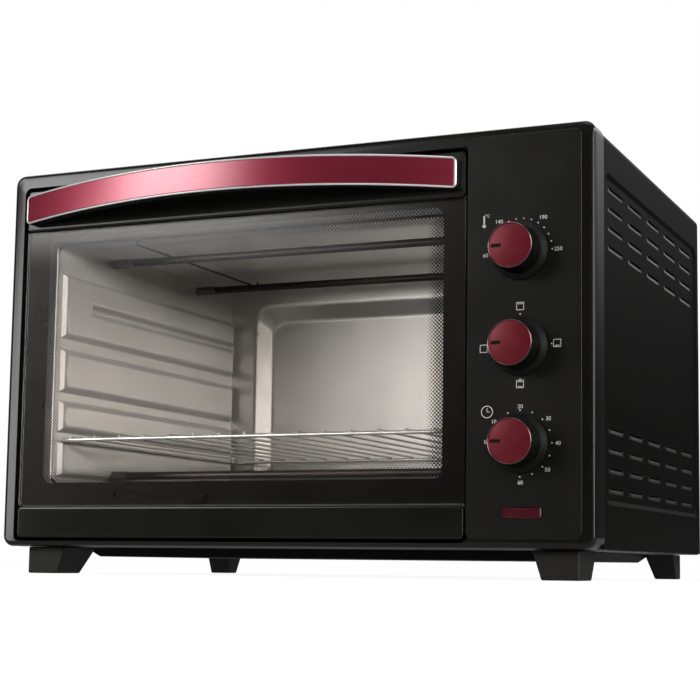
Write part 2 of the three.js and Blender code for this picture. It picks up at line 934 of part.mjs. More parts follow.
// The handle's bent band: stations along it carry upright sections that follow the bow and the rise
function handleBand(halfLength, halfHeight, corner, front, back) {
  const places = [];
  for (let i = 0; i <= handleStations; i++) {
    places.push((halfLength - corner) * ((2 * i) / handleStations - 1));
  }
  for (let i = 1; i <= handleCornerStations; i++) {
    const x = halfLength - corner + corner * Math.sin((i * Math.PI) / 2 / handleCornerStations);
    places.push(x);
    places.unshift(-x);
  }
  const loops = places.map((x) => {
    const away = 1 - (x / handleHalf) ** 2;
    const lead = handleFront + handleBow * (1 - away);
    const middle = handleEndZ + handleRise * away;
    const half = bandHalfHeight(x, halfLength, halfHeight, corner);
    return loopAtX(doorMiddle + x, lead + front, lead + back, middle - half, middle + half);
  });
  return loft(loops);
}

function makeHandleGrip() {
  const back = trimDepth + gripThickness;
  const postHalfHeight = handleHeight / 2 - handleCorner / 2;
  const postHalfLength = handlePostLength / 2 - handleCorner;
  const start = doorProud - handleEndReach + trimDepth + lap;
  const end = doorProud - gap;
  let grip = handleBand(handleHalf, handleHeight / 2, handleCorner, trimDepth, back);
  for (const x of handlePosts) {
    grip = grip.add(
      block(
        x - postHalfLength,
        x + postHalfLength,
        start,
        end,
        handleEndZ - postHalfHeight,
        handleEndZ + postHalfHeight,
      ),
    );
  }
  const behind = block(
    doorLeft,
    doorRight,
    end,
    end + handleBow,
    handleEndZ - handleHeight,
    handleEndZ + handleHeight,
  );
  return grip.subtract(behind).subtract(handleScrewHoles(end - screwInPost, end + overrun));
}

function makeHandleTrim() {
  const outer = handleBand(handleHalf, handleHeight / 2, handleCorner, 0, trimDepth - gap);
  const inner = handleBand(
    handleHalf - trimWidth,
    handleHeight / 2 - trimWidth,
    handleCorner - trimWidth,
    -overrun,
    trimDepth + overrun,
  );
  return outer.subtract(inner);
}

function makeHandleInsert() {
  const inset = trimWidth + gap;
  const front = trimDepth - gap - insertThickness;
  return handleBand(
    handleHalf - inset,
    handleHeight / 2 - inset,
    handleCorner - inset,
    front,
    front + insertThickness,
  );
}

// A screw from inside the door, through its frame and the upper rail, into a handle post
function makeHandleScrew(x) {
  const tip = doorProud - screwInPost;
  const seat = innerFrameBack + gap;
  return barY(x, handleEndZ, screwWidth, tip, seat + lap, 12).add(
    barY(x, handleEndZ, screwHead, seat, seat + screwHeadHeight, 12),
  );
}

function makeTopRail() {
  const back = doorProud + railThickness + overrun;
  return makeRail(glassTop + gap, doorTop).subtract(handleScrewHoles(-overrun, back));
}

// Pads from one plane to another, each plane with its own inset; the lowest pad's top is flat
function padLofts(rootX, faceX, rootInset, faceInset) {
  const front = cavityFront + padFrontMargin;
  const back = cavityBack - padBackMargin;
  const pads = padGrooveShares.map(([low, high], index) => {
    const z0 = cavityFloor + low * cavityHeight;
    const z1 = cavityFloor + high * cavityHeight;
    const topInset = index === 0 ? rootInset : faceInset;
    return loft([
      loopAtX(rootX, front + rootInset, back - rootInset, z0 + rootInset, z1 - rootInset),
      loopAtX(faceX, front + faceInset, back - faceInset, z0 + faceInset, z1 - topInset),
    ]);
  });
  const [lowerShares, upperShares] = padGrooveShares.slice(-2);
  const bridgeBack = front + padBridgeLength;
  const bridgeLow = cavityFloor + lowerShares[1] * cavityHeight - padSlope - rootInset;
  const bridgeHigh = cavityFloor + upperShares[0] * cavityHeight + padSlope + rootInset;
  const bridge = loft([
    loopAtX(rootX, front + rootInset, bridgeBack - rootInset, bridgeLow, bridgeHigh),
    loopAtX(faceX, front + faceInset, bridgeBack - faceInset, bridgeLow, bridgeHigh),
  ]);
  return wasm.Manifold.union([...pads, bridge]);
}

// Pressed pads of one side wall; the rack's rim rests on top of the lowest one
function sidePads(side) {
  const wall = side < 0 ? cavityLeft : cavityRight;
  return padLofts(wall + side * enamel / 2, wall - side * padReach, 0, padSlope);
}

// The hollow behind the pads, open to the outside of the wall
function padHollows(side) {
  const wall = side < 0 ? cavityLeft : cavityRight;
  const rootX = wall + side * (enamel + lap);
  const faceX = wall - side * (padReach - enamel);
  return padLofts(rootX, faceX, padWall, padSlope + enamel / 2);
}

function heaterHoles() {
  const holes = [];
  for (const z of [upperHeaterZ, lowerHeaterZ]) {
    for (const y of [frontHeaterY, rearHeaterY]) {
      const width = heaterWidth + 2 * gap;
      holes.push(barX(y, z, width, cavityLeft - overrun, cavityLeft + padReach + overrun));
      holes.push(barX(y, z, width, cavityRight - padReach - overrun, cavityRight + overrun));
    }
  }
  return wasm.Manifold.union(holes);
}

function makeCavityShell() {
  const outer = block(
    cavityLeft - enamel,
    cavityRight + enamel,
    cavityFront,
    cavityBack,
    cavityFloor - enamel,
    cavityCeiling + enamel,
  );
  const flange = block(
    cavityLeft - cavityFlange,
    cavityRight + cavityFlange,
    cavityFront,
    cavityFront + enamel,
    cavityFloor - cavityFlange,
    cavityCeiling + cavityFlange,
  );
  const inside = block(
    cavityLeft,
    cavityRight,
    cavityFront - overrun,
    cavityBack + overrun,
    cavityFloor,
    cavityCeiling,
  );
  return outer
    .add(flange)
    .subtract(inside)
    .add(sidePads(-1))
    .add(sidePads(1))
    .subtract(padHollows(-1))
    .subtract(padHollows(1))
    .subtract(heaterHoles());
}

function makeCavityBack() {
  const rim = block(
    cavityLeft - enamel,
    cavityRight + enamel,
    cavityBack + gap,
    cavityBack + gap + enamel,
    cavityFloor - enamel,
    cavityCeiling + enamel,
  );
  const field = (shrink) =>
    rounded(
      cavityLeft + embossSideMargin + shrink,
      cavityRight - embossSideMargin - shrink,
      cavityFloor + embossBottomMargin + shrink,
      cavityCeiling - embossTopMargin - shrink,
      embossCorner,
    );
  const front = cavityBack + gap;
  const back = front + embossDepth;
  const dish = (grow, start, end) =>
    loft([loopAtY(start, field(-grow), 5), loopAtY(end, field(embossSlope - grow), 5)]);
  const outer = dish(enamel, front, back + enamel);
  const inner = dish(0, front - lap, back);
  return rim.add(outer).subtract(inner);
}

function makeHeater(y, z) {
  const left = cavityLeft - enamel - gap;
  const right = cavityRight + enamel + gap;
  return barX(y, z, heaterWidth, left - heaterCollarLength, right + heaterCollarLength, 12)
    .add(barX(y, z, heaterCollar, left - heaterCollarLength, left, 12))
    .add(barX(y, z, heaterCollar, right, right + heaterCollarLength, 12));
}

// A strip under the ceiling that lies over both upper heaters
function makeHeaterHanger() {
  const x = cavityLeft + hangerInset;
  const low = upperHeaterZ + heaterWidth / 2 + gap;
  const start = cavityFront + hangerFrontMargin;
  const end = cavityBack - hangerBackMargin;
  const half = hangerWidth / 2;
  return block(x - half, x + half, start, end, low, low + hangerThickness)
    .add(block(x - half, x + half, start, start + hangerPost, low, cavityCeiling - gap))
    .add(block(x - half, x + half, end - hangerPost, end, low, cavityCeiling - gap));
}

function makeWireRack() {
  const half = rackRim / 2;
  const left = cavityLeft + rackSideGap + half;
  const right = cavityRight - rackSideGap - half;
  const front = cavityFront + rackFrontGap + half;
  const back = cavityBack - rackBackGap - half;
  const wireZ = rackZ + half + rackWire / 2 - lap;
  const wires = [
    barX(front, rackZ, rackRim, left - half, right + half, 8),
    barX(back, rackZ, rackRim, left - half, right + half, 8),
    barY(left, rackZ, rackRim, front, back, 8),
    barY(right, rackZ, rackRim, front, back, 8),
  ];
  const wireCount = Math.floor((right - left) / rackPitch);
  for (let i = 0; i < wireCount; i++) {
    const x = cavityMiddle + (i - (wireCount - 1) / 2) * rackPitch;
    wires.push(barY(x, wireZ, rackWire, front - half, back + half, 6));
  }
  return wasm.Manifold.union(wires);
}

function makeCrumbTray() {
  const floor = cavityFloor + gap;
  const left = cavityLeft + traySideGap;
  const right = cavityRight - traySideGap;
  const front = cavityFront + trayFrontGap;
  const back = cavityBack - trayFrontGap;
  const inside = block(
    left + traySheet,
    right - traySheet,
    front + traySheet,
    back - traySheet,
    floor + traySheet,
    floor + trayHeight + overrun,
  );
  return block(left, right, front, back, floor, floor + trayHeight).subtract(inside);
}

function makeHeatShield() {
  const x = cavityRight + enamel + shieldGap;
  return block(
    x,
    x + enamel,
    cavityFront + shieldEndGap,
    backPanelFront - gap,
    baseTop + gap,
    coverTop - sheet - shieldEndGap,
  );
}

function makeTerminalBlock() {
  return block(
    inletX - terminalWidth / 2,
    inletX + terminalWidth / 2,
    backPanelFront - terminalBackGap - terminalDepth,
    backPanelFront - terminalBackGap,
    baseTop + gap,
    baseTop + gap + terminalHeight,
  );
}

// A bushing held in the back panel by a flange on each side
function makeCordInlet() {
  const inner = backPanelFront - gap - inletFlangeHeight;
  const outer = backPanelBack + gap + inletFlangeHeight;
  return barY(inletX, inletZ, inletFlange, backPanelBack + gap, outer)
    .add(barY(inletX, inletZ, inletFlange, inner, backPanelFront - gap))
    .add(barY(inletX, inletZ, inletHole, inner, outer))
    .subtract(barY(inletX, inletZ, inletHole - inletWall, inner - overrun, outer + overrun));
}

addPiece("front_frame", makeFrontFrame(), glossBlack);
addPiece("front_plate", makeFrontPlate(), coverBlack);
addPiece("control_panel", makeControlPanel(), panelBlack);
addPiece("outer_cover", makeOuterCover(), coverBlack);
addPiece("back_panel", makeBackPanel(), coverBlack);
addPiece("base_plate", makeBasePlate(), zincSteel);
addPiece("base_pan", makeBasePan(), coverBlack);
for (const [sideName, side] of [["left", -1], ["right", 1]]) {
  const frontFoot = makeFoot(
    side,
    frontFootInset,
    1,
    frontFootTop,
    frontFootFloor,
    frontFootLength,
    frontFootFloorLength,
  );
  const rearFoot = makeFoot(
    side,
    bodyDepth - rearFootInset,
    -1,
    rearFootTop,
    rearFootFloor,
    rearFootLength,
    rearFootFloorLength,
  );
  addPiece("front_" + sideName + "_foot", frontFoot, footBlack);
  addPiece("rear_" + sideName + "_foot", rearFoot, footBlack);
  addPiece(sideName + "_hinge_bracket", makeHingeBracket(side), zincSteel);
  addPiece(sideName + "_hinge_lug", makeHingeLug(side), zincSteel);
  addPiece(sideName + "_hinge_pin", makeHingePin(side), zincSteel);
}
for (const [index, sideName] of ["left", "right"].entries()) {
  addPiece(sideName + "_handle_screw", makeHandleScrew(handlePosts[index]), zincSteel);
}
addPiece("cavity_shell", makeCavityShell(), greyEnamel);
addPiece("cavity_back", makeCavityBack(), greyEnamel);
for (const [levelName, z] of [["upper", upperHeaterZ], ["lower", lowerHeaterZ]]) {
  addPiece(levelName + "_front_heater", makeHeater(frontHeaterY, z), heaterSteel);
  addPiece(levelName + "_rear_heater", makeHeater(rearHeaterY, z), heaterSteel);
}
addPiece("heater_hanger", makeHeaterHanger(), zincSteel);
addPiece("wire_rack", makeWireRack(), wireSteel);
addPiece("crumb_tray", makeCrumbTray(), zincSteel);
addPiece("heat_shield", makeHeatShield(), zincSteel);
addPiece("door_top_rail", makeTopRail(), glossBlack);
addPiece("door_bottom_rail", makeBottomRail(), glossBlack);
addPiece("door_glass", makeDoorGlass(), glass);
addPiece("door_inner_frame", makeDoorInnerFrame(), zincSteel);
addPiece("handle_grip", makeHandleGrip(), footBlack);
addPiece("handle_trim", makeHandleTrim(), chrome);
addPiece("handle_insert", makeHandleInsert(), redAnodised);
addKnob("temperature", temperatureZ);
addKnob("function", functionZ);
addKnob("timer", timerZ);
addPiece("thermostat", makeThermostat(), switchPlastic);
addPiece("function_switch", makeFunctionSwitch(), switchPlastic);
addPiece("timer_case", makeTimer(), switchPlastic);
addPiece("timer_bell", makeTimerBell(), zincSteel);
addPiece("indicator_lens", makeIndicatorLens(), redLens);
addPiece("indicator_lamp", makeIndicatorLamp(), switchPlastic);
addPiece("terminal_block", makeTerminalBlock(), switchPlastic);
addPiece("cord_inlet", makeCordInlet(), footBlack);

// The origin is under the middle of the whole oven, from the front of the handle to the back of the cover
oven.position.y = -(handleFront + bodyDepth) / 2;

export default oven;
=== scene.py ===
import json
import math

import bpy
from mathutils import Matrix, Vector

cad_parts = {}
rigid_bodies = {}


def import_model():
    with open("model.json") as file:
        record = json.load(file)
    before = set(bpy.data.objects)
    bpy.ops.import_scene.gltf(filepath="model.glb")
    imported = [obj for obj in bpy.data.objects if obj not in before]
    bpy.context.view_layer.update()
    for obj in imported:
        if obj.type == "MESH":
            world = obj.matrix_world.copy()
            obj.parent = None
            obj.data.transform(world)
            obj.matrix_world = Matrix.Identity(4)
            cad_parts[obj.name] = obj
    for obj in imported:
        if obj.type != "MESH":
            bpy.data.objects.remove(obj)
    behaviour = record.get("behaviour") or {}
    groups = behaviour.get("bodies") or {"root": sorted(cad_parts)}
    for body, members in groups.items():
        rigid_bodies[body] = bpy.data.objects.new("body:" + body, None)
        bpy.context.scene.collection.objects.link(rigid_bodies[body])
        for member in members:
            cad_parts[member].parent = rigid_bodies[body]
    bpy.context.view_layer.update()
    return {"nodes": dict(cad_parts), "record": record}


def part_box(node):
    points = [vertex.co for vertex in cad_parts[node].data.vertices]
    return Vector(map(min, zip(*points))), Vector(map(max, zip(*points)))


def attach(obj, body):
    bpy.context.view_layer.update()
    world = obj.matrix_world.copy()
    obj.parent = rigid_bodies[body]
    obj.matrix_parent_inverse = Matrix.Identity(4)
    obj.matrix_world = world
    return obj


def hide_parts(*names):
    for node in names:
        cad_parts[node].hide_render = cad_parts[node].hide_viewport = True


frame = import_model()
nodes = frame["nodes"]
mm = 0.001
print("frame loaded,", len(nodes), "nodes")


# Camera: low in front of the right-hand corner, looking slightly up

cameraView = {
    "place": (0.57428, -1.29254, 0.01025),
    "right": (0.92265, 0.38546, 0.01140),
    "up": (0.03149, -0.10477, 0.99400),
    "forward": (-0.38434, 0.91676, 0.10881),
    "lens": 82.2,
    "shift": (-0.0643, 0.0571),
}


def makeCamera(view):
    data = bpy.data.cameras.new("camera")
    data.lens = view["lens"]
    data.sensor_width = 36
    data.shift_x, data.shift_y = view["shift"]
    camera = bpy.data.objects.new("camera", data)
    bpy.context.scene.collection.objects.link(camera)
    back = -Vector(view["forward"])
    turn = Matrix((view["right"], view["up"], back)).transposed()
    camera.matrix_world = Matrix.Translation(view["place"]) @ turn.to_4x4()
    bpy.context.scene.camera = camera


makeCamera(cameraView)
bpy.context.scene.view_settings.view_transform = "Standard"


# Small helpers

# sRGB hex to linear values
def linear(hexValue, alpha=1.0):
    parts = [int(hexValue[i:i + 2], 16) / 255 for i in (1, 3, 5)]
    return [c / 12.92 if c <= 0.04045 else ((c + 0.055) / 1.055) ** 2.4 for c in parts] + [alpha]


# One node with its properties and its inputs; an input given as a socket is linked
def addNode(tree, kind, properties=None, inputs=None):
    node = tree.nodes.new(kind)
    for name, value in (properties or {}).items():
        setattr(node, name, value)
    for name, value in (inputs or {}).items():
        if isinstance(value, bpy.types.NodeSocket):
            tree.links.new(value, node.inputs[name])
        else:
            node.inputs[name].default_value = value
    return node


def newMaterial(name, settings):
    material = bpy.data.materials.new(name)
    material.use_nodes = True
    shader = material.node_tree.nodes["Principled BSDF"]
    for socket, value in settings.items():
        shader.inputs[socket].default_value = value
    return material, material.node_tree, shader


# A moulded, sprayed or drawn surface: colour and roughness drift over it and a fine grain stands up
def addGrain(tree, shader, look):
    place = addNode(tree, "ShaderNodeMapping", None, {
        "Vector": addNode(tree, "ShaderNodeTexCoord").outputs["Object"],
        "Scale": look.get("stretch", (1, 1, 1))}).outputs[0]
    drift = addNode(tree, "ShaderNodeTexNoise", None,
                    {"Vector": place, "Scale": 1 / (look["driftSize"] * mm), "Detail": 3, "Roughness": 0.5})
    tone = addNode(tree, "ShaderNodeMix", {"data_type": "RGBA"},
                   {0: drift.outputs[0], 6: linear(look["dark"]), 7: linear(look["light"])})
    tree.links.new(tone.outputs[2], shader.inputs["Base Color"])
    low, high = look["roughness"]
    shine = addNode(tree, "ShaderNodeMapRange", None,
                    {0: drift.outputs[0], 1: 0.3, 2: 0.7, 3: low, 4: high})
    tree.links.new(shine.outputs[0], shader.inputs["Roughness"])
    grain = addNode(tree, "ShaderNodeTexNoise", None,
                    {"Vector": place, "Scale": 1 / (look["grainSize"] * mm), "Detail": 2, "Roughness": 0.6})
    bump = addNode(tree, "ShaderNodeBump", None, {
        "Height": grain.outputs[0], "Strength": look["grain"], "Distance": look["grainDepth"] * mm})
    tree.links.new(bump.outputs[0], shader.inputs["Normal"])


def selectOnly(piece):
    bpy.ops.object.select_all(action="DESELECT")
    piece.select_set(True)
    bpy.context.view_layer.objects.active = piece


# Selects in edit mode what a test on each face, or each edge, picks
def pickFaces(piece, test):
    bpy.ops.object.mode_set(mode="EDIT")
    bpy.ops.mesh.select_mode(type="FACE")
    bpy.ops.mesh.select_all(action="DESELECT")
    bpy.ops.object.mode_set(mode="OBJECT")
    for face in piece.data.polygons:
        face.select = test(face.center, face.normal)
    bpy.ops.object.mode_set(mode="EDIT")


def pickEdges(piece, test):
    bpy.ops.object.mode_set(mode="EDIT")
    bpy.ops.mesh.select_mode(type="EDGE")
    bpy.ops.mesh.select_all(action="DESELECT")
    bpy.ops.object.mode_set(mode="OBJECT")
    points = piece.data.vertices
    for edge in piece.data.edges:
        edge.select = test(points[edge.vertices[0]].co, points[edge.vertices[1]].co)
    bpy.ops.object.mode_set(mode="EDIT")


def leaveEdit():
    bpy.ops.object.mode_set(mode="OBJECT")


def applyPlace(piece):
    selectOnly(piece)
    bpy.ops.object.transform_apply(location=True, rotation=True, scale=True)


# Rounds the edges that are sharper than an angle, with a modifier that is applied
def roundEdges(piece, width, segments=3, sharper=30):
    selectOnly(piece)
    bevel = piece.modifiers.new("edges", "BEVEL")
    bevel.width = width
    bevel.segments = segments
    bevel.limit_method = "ANGLE"
    bevel.angle_limit = math.radians(sharper)
    bevel.use_clamp_overlap = True
    bpy.ops.object.modifier_apply(modifier=bevel.name)


# Repeats a piece in a row, each copy a step in millimetres from the last
def repeatPiece(piece, count, step):
    selectOnly(piece)
    row = piece.modifiers.new("row", "ARRAY")
    row.count = count
    row.use_relative_offset = False
    row.use_constant_offset = True
    row.constant_offset_displace = [part * mm for part in step]
    bpy.ops.object.modifier_apply(modifier=row.name)


# Smooth shading that keeps the large faces flat up to their rounded edges
def smooth(piece, angle=35):
    selectOnly(piece)
    bpy.ops.object.shade_smooth_by_angle(angle=math.radians(angle))
    flat = piece.modifiers.new("flat_faces", "WEIGHTED_NORMAL")
    flat.keep_sharp = True
    bpy.ops.object.modifier_apply(modifier=flat.name)


# Gives a finished piece its material, its body and the nodes it stands for
def finishPiece(piece, name, material, body, slot, *stoodFor):
    piece.name = name
    piece.data.name = name
    piece.data.materials.clear()
    piece.data.materials.append(material)
    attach(piece, body)
    if stoodFor:
        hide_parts(*stoodFor)


def joinAll(pieces):
    bpy.ops.object.select_all(action="DESELECT")
    for piece in pieces:
        piece.select_set(True)
    bpy.context.view_layer.objects.active = pieces[0]
    if len(pieces) > 1:
        bpy.ops.object.join()
    return bpy.context.view_layer.objects.active


def addBlock(low, high):
    low, high = Vector(low), Vector(high)
    bpy.ops.object.select_all(action="DESELECT")
    bpy.ops.mesh.primitive_cube_add(size=1, location=(low + high) / 2, scale=high - low)
    piece = bpy.context.active_object
    applyPlace(piece)
    return piece


# A round bar between two points
def addBar(start, end, radius, sides=16):
    start, end = Vector(start), Vector(end)
    way = end - start
    bpy.ops.object.select_all(action="DESELECT")
    bpy.ops.mesh.primitive_cylinder_add(vertices=sides, radius=radius, depth=way.length,
                                        location=(start + end) / 2,
                                        rotation=way.to_track_quat("Z", "Y").to_euler())
    piece = bpy.context.active_object
    applyPlace(piece)
    return piece


bodyOfNode = {}
for bodyName, members in frame["record"]["behaviour"]["bodies"].items():
    for member in members:
        bodyOfNode[member] = bodyName
slotOfNode = {row["node"]: row["material_slot"] for row in frame["record"]["subparts"]}


# A copy of a node, merged to whole faces, with its edges rounded, which stands for the node
def refine(nodeName, material, rounding=0, segments=2, sharper=30):
    source = nodes[nodeName]
    piece = bpy.data.objects.new(nodeName + "_finished", source.data.copy())
    bpy.context.scene.collection.objects.link(piece)
    selectOnly(piece)
    if piece.data.has_custom_normals:
        bpy.ops.mesh.customdata_custom_splitnormals_clear()
    bpy.ops.object.mode_set(mode="EDIT")
    bpy.ops.mesh.select_all(action="SELECT")
    bpy.ops.mesh.remove_doubles(threshold=0.001 * mm)
    bpy.ops.mesh.dissolve_limited(angle_limit=math.radians(0.4))
    leaveEdit()
    if rounding:
        roundEdges(piece, rounding * mm, segments, sharper)
    smooth(piece, 40)
    finishPiece(piece, nodeName + "_finished", material, bodyOfNode[nodeName],
                slotOfNode[nodeName], nodeName)
    return piece


# Materials, each from the real finish of its pieces; sizes of patterns are in millimetres

# Injection moulded glossy ABS: nearly black, clear reflections that ripple a little from the mould
polishedAbsLook = {
    "shader": {"Specular IOR Level": 0.5, "Coat Weight": 0.4, "Coat Roughness": 0.06},
    "dark": "#0b0b0a", "light": "#131210", "driftSize": 70, "roughness": (0.16, 0.22),
    "grainSize": 14, "grain": 0.035, "grainDepth": 0.35,
}

# Satin ABS of the control panel: a soft even sheen with a very fine spark texture
satinAbsLook = {
    "shader": {"Specular IOR Level": 0.35},
    "dark": "#10100e", "light": "#171614", "driftSize": 55, "roughness": (0.24, 0.3),
    "grainSize": 1.1, "grain": 0.05, "grainDepth": 0.05,
}

# Black powder coat on deep drawn steel: soft wide highlights and a faint orange peel
powderCoatLook = {
    "shader": {"Specular IOR Level": 0.05},
    "dark": "#090908", "light": "#0d0c0b", "driftSize": 90, "roughness": (0.38, 0.42),
    "grainSize": 2.2, "grain": 0.12, "grainDepth": 0.08,
}

# The same powder coat where it runs thicker in the pressed louvres: glossier
louvreCoatLook = {
    "shader": {"Specular IOR Level": 0.4},
    "dark": "#0a0a09", "light": "#10100f", "driftSize": 30, "roughness": (0.3, 0.36),
    "grainSize": 2.2, "grain": 0.08, "grainDepth": 0.05,
}

# Prepainted black sheet of the back panel: thin satin paint, duller than the powder coat
blackSheetLook = {
    "shader": {"Specular IOR Level": 0.5},
    "dark": "#121211", "light": "#1a1a18", "driftSize": 60, "roughness": (0.42, 0.52),
    "grainSize": 1.6, "grain": 0.08, "grainDepth": 0.05,
}

# Hot dip galvanised sheet: cool grey metal with spangle
galvanisedLook = {
    "shader": {"Metallic": 0.9},
    "dark": "#7f8384", "light": "#a9adae", "driftSize": 16, "roughness": (0.3, 0.48),
    "grainSize": 0.9, "grain": 0.06, "grainDepth": 0.03,
}

# Zinc plated pins and screws: bright cool metal, slightly brushed
zincLook = {
    "shader": {"Metallic": 1.0},
    "dark": "#9a9c9b", "light": "#c6c7c4", "driftSize": 6, "roughness": (0.2, 0.34),
    "grainSize": 0.5, "grain": 0.08, "grainDepth": 0.02,
}

# Hardened bell steel, blued a little by its heat treatment
bellSteelLook = {
    "shader": {"Metallic": 1.0},
    "dark": "#6b6f78", "light": "#9a9ea4", "driftSize": 12, "roughness": (0.18, 0.3),
    "grainSize": 0.8, "grain": 0.05, "grainDepth": 0.02,
}

# Aluminised steel of the oven cavity: warm light grey, satin, rolled faintly lengthways
cavitySteelLook = {
    "shader": {"Metallic": 0.75, "Specular IOR Level": 0.5},
    "dark": "#b2afab", "light": "#c6c3be", "driftSize": 45, "roughness": (0.28, 0.36),
    "grainSize": 1.4, "grain": 0.05, "grainDepth": 0.04,
}

# Tubular heater sheath: dark oxidised stainless steel with brown heat tint
heaterSheathLook = {
    "shader": {"Metallic": 0.75},
    "dark": "#1d1a18", "light": "#3a332d", "driftSize": 22, "roughness": (0.38, 0.55),
    "grainSize": 0.9, "grain": 0.15, "grainDepth": 0.04,
}

# Nickel plated collars of the heaters: grey, dulled by heat
heaterCollarLook = {
    "shader": {"Metallic": 0.9},
    "dark": "#55524d", "light": "#787470", "driftSize": 8, "roughness": (0.34, 0.5),
    "grainSize": 0.8, "grain": 0.08, "grainDepth": 0.03,
}

# Chromed rack wire: bright mirror metal, a little duller where it was welded
chromedWireLook = {
    "shader": {"Metallic": 0.95},
    "dark": "#c9c7c3", "light": "#e6e4e0", "driftSize": 18, "roughness": (0.13, 0.2),
    "grainSize": 1.2, "grain": 0.04, "grainDepth": 0.03,
}

# Moulded black phenolic and nylon: fine matt grain, a low grey sheen
mattPlasticLook = {
    "shader": {"Specular IOR Level": 0.4},
    "dark": "#131211", "light": "#1c1a18", "driftSize": 30, "roughness": (0.42, 0.54),
    "grainSize": 0.8, "grain": 0.18, "grainDepth": 0.05,
}

# Finer spark texture of the moulded knobs: darker and with less gloss than the feet
knobPlasticLook = {
    "shader": {"Specular IOR Level": 0.2},
    "dark": "#0b0b0a", "light": "#121110", "driftSize": 18, "roughness": (0.4, 0.5),
    "grainSize": 0.7, "grain": 0.14, "grainDepth": 0.04,
}

# Bright plated trim round the handle, also the look of the doorway's rolled bead: near-white and half matt,
# so a painted white sheen lies over its real reflections
chromeTrimLook = {
    "shader": {"Metallic": 0.55},
    "dark": "#e4e2df", "light": "#f6f4f1", "driftSize": 20, "roughness": (0.1, 0.2),
    "grainSize": 1.5, "grain": 0.02, "grainDepth": 0.02,
}

# Plated rings of the caps: the same trim, its colour tinted pink as a painted reflection of the red cap
# beside it
capRingLook = {
    "shader": {"Metallic": 0.85},
    "dark": "#a07a7c", "light": "#bd9a9a", "driftSize": 12, "roughness": (0.18, 0.28),
    "grainSize": 0.8, "grain": 0.03, "grainDepth": 0.02,
}

# Red anodised brushed aluminium: brushed along X, so the light spreads up and down in a soft band
anodisedLook = {
    "shader": {"Metallic": 0.8, "Coat Weight": 1.0, "Coat Roughness": 0.16, "Coat IOR": 2.0},
    "dark": "#a52944", "light": "#b4324e", "driftSize": 0.8, "roughness": (0.28, 0.34),
    "grainSize": 0.5, "grain": 0.03, "grainDepth": 0.01, "stretch": (0.02, 1, 1),
}

# The same anodised sheet stamped into the caps, with no brush direction that shows; its red is painted darker
# than the insert's, as shade
capSheetLook = {
    "shader": {"Metallic": 0.5, "Coat Weight": 0.35, "Coat Roughness": 0.25},
    "dark": "#65131e", "light": "#721a28", "driftSize": 9, "roughness": (0.3, 0.4),
    "grainSize": 0.35, "grain": 0.05, "grainDepth": 0.02,
}

# Switch bodies: grey-white filled polyamide, slightly speckled
switchPlasticLook = {
    "shader": {"Specular IOR Level": 0.5},
    "dark": "#b9b3a4", "light": "#d4cfc2", "driftSize": 14, "roughness": (0.45, 0.6),
    "grainSize": 0.7, "grain": 0.12, "grainDepth": 0.04,
}

# Red polycarbonate lens: deep red and glossy, dark while its lamp is off
redLensLook = {
    "shader": {"Specular IOR Level": 0.5, "Transmission Weight": 0.2, "IOR": 1.58,
               "Coat Weight": 0.5, "Coat Roughness": 0.05},
    "dark": "#3a0c12", "light": "#561420", "driftSize": 10, "roughness": (0.16, 0.24),
    "grainSize": 1.6, "grain": 0.05, "grainDepth": 0.04,
}


def finishFromLook(name, look):
    material, tree, shader = newMaterial(name, look["shader"])
    addGrain(tree, shader, look)
    return material


polishedAbs = finishFromLook("polished_black_abs", polishedAbsLook)
satinAbs = finishFromLook("satin_black_abs", satinAbsLook)
powderCoat = finishFromLook("black_powder_coat", powderCoatLook)
blackSheet = finishFromLook("prepainted_black_sheet", blackSheetLook)
louvreCoat = finishFromLook("black_powder_coat_louvres", louvreCoatLook)
galvanised = finishFromLook("galvanised_steel", galvanisedLook)
zincPlate = finishFromLook("zinc_plated_steel", zincLook)
bellSteel = finishFromLook("bell_steel", bellSteelLook)
cavitySteel = finishFromLook("aluminised_cavity_steel", cavitySteelLook)
heaterSheath = finishFromLook("heater_sheath_steel", heaterSheathLook)
heaterCollar = finishFromLook("nickel_plated_collar", heaterCollarLook)
chromedWire = finishFromLook("chromed_rack_wire", chromedWireLook)
mattPlastic = finishFromLook("matt_black_plastic", mattPlasticLook)
knobPlastic = finishFromLook("spark_textured_knob_plastic", knobPlasticLook)
chromeTrim = finishFromLook("bright_chrome_trim", chromeTrimLook)
capRing = finishFromLook("plated_cap_ring", capRingLook)
anodised = finishFromLook("red_anodised_aluminium", anodisedLook)
capSheet = finishFromLook("red_anodised_cap_sheet", capSheetLook)
switchPlastic = finishFromLook("switch_polyamide", switchPlasticLook)
redLens = finishFromLook("red_polycarbonate", redLensLook)


# Tempered door glass: clear, a slight warm grey tint, faint smears in its gloss
doorGlassLook = {"tint": "#efecea", "roughness": (0.0, 0.025), "smearSize": 60}


def makeDoorGlassMaterial(look):
    material, tree, shader = newMaterial("tempered_door_glass", {
        "Base Color": linear(look["tint"]), "Transmission Weight": 1.0, "IOR": 1.45})
    place = addNode(tree, "ShaderNodeTexCoord").outputs["Object"]
    smear = addNode(tree, "ShaderNodeTexNoise", None,
                    {"Vector": place, "Scale": 1 / (look["smearSize"] * mm), "Detail": 4})
    low, high = look["roughness"]
    shine = addNode(tree, "ShaderNodeMapRange", None,
                    {0: smear.outputs[0], 1: 0.35, 2: 0.75, 3: low, 4: high})
    tree.links.new(shine.outputs[0], shader.inputs["Roughness"])
    return material


doorGlass = makeDoorGlassMaterial(doorGlassLook)

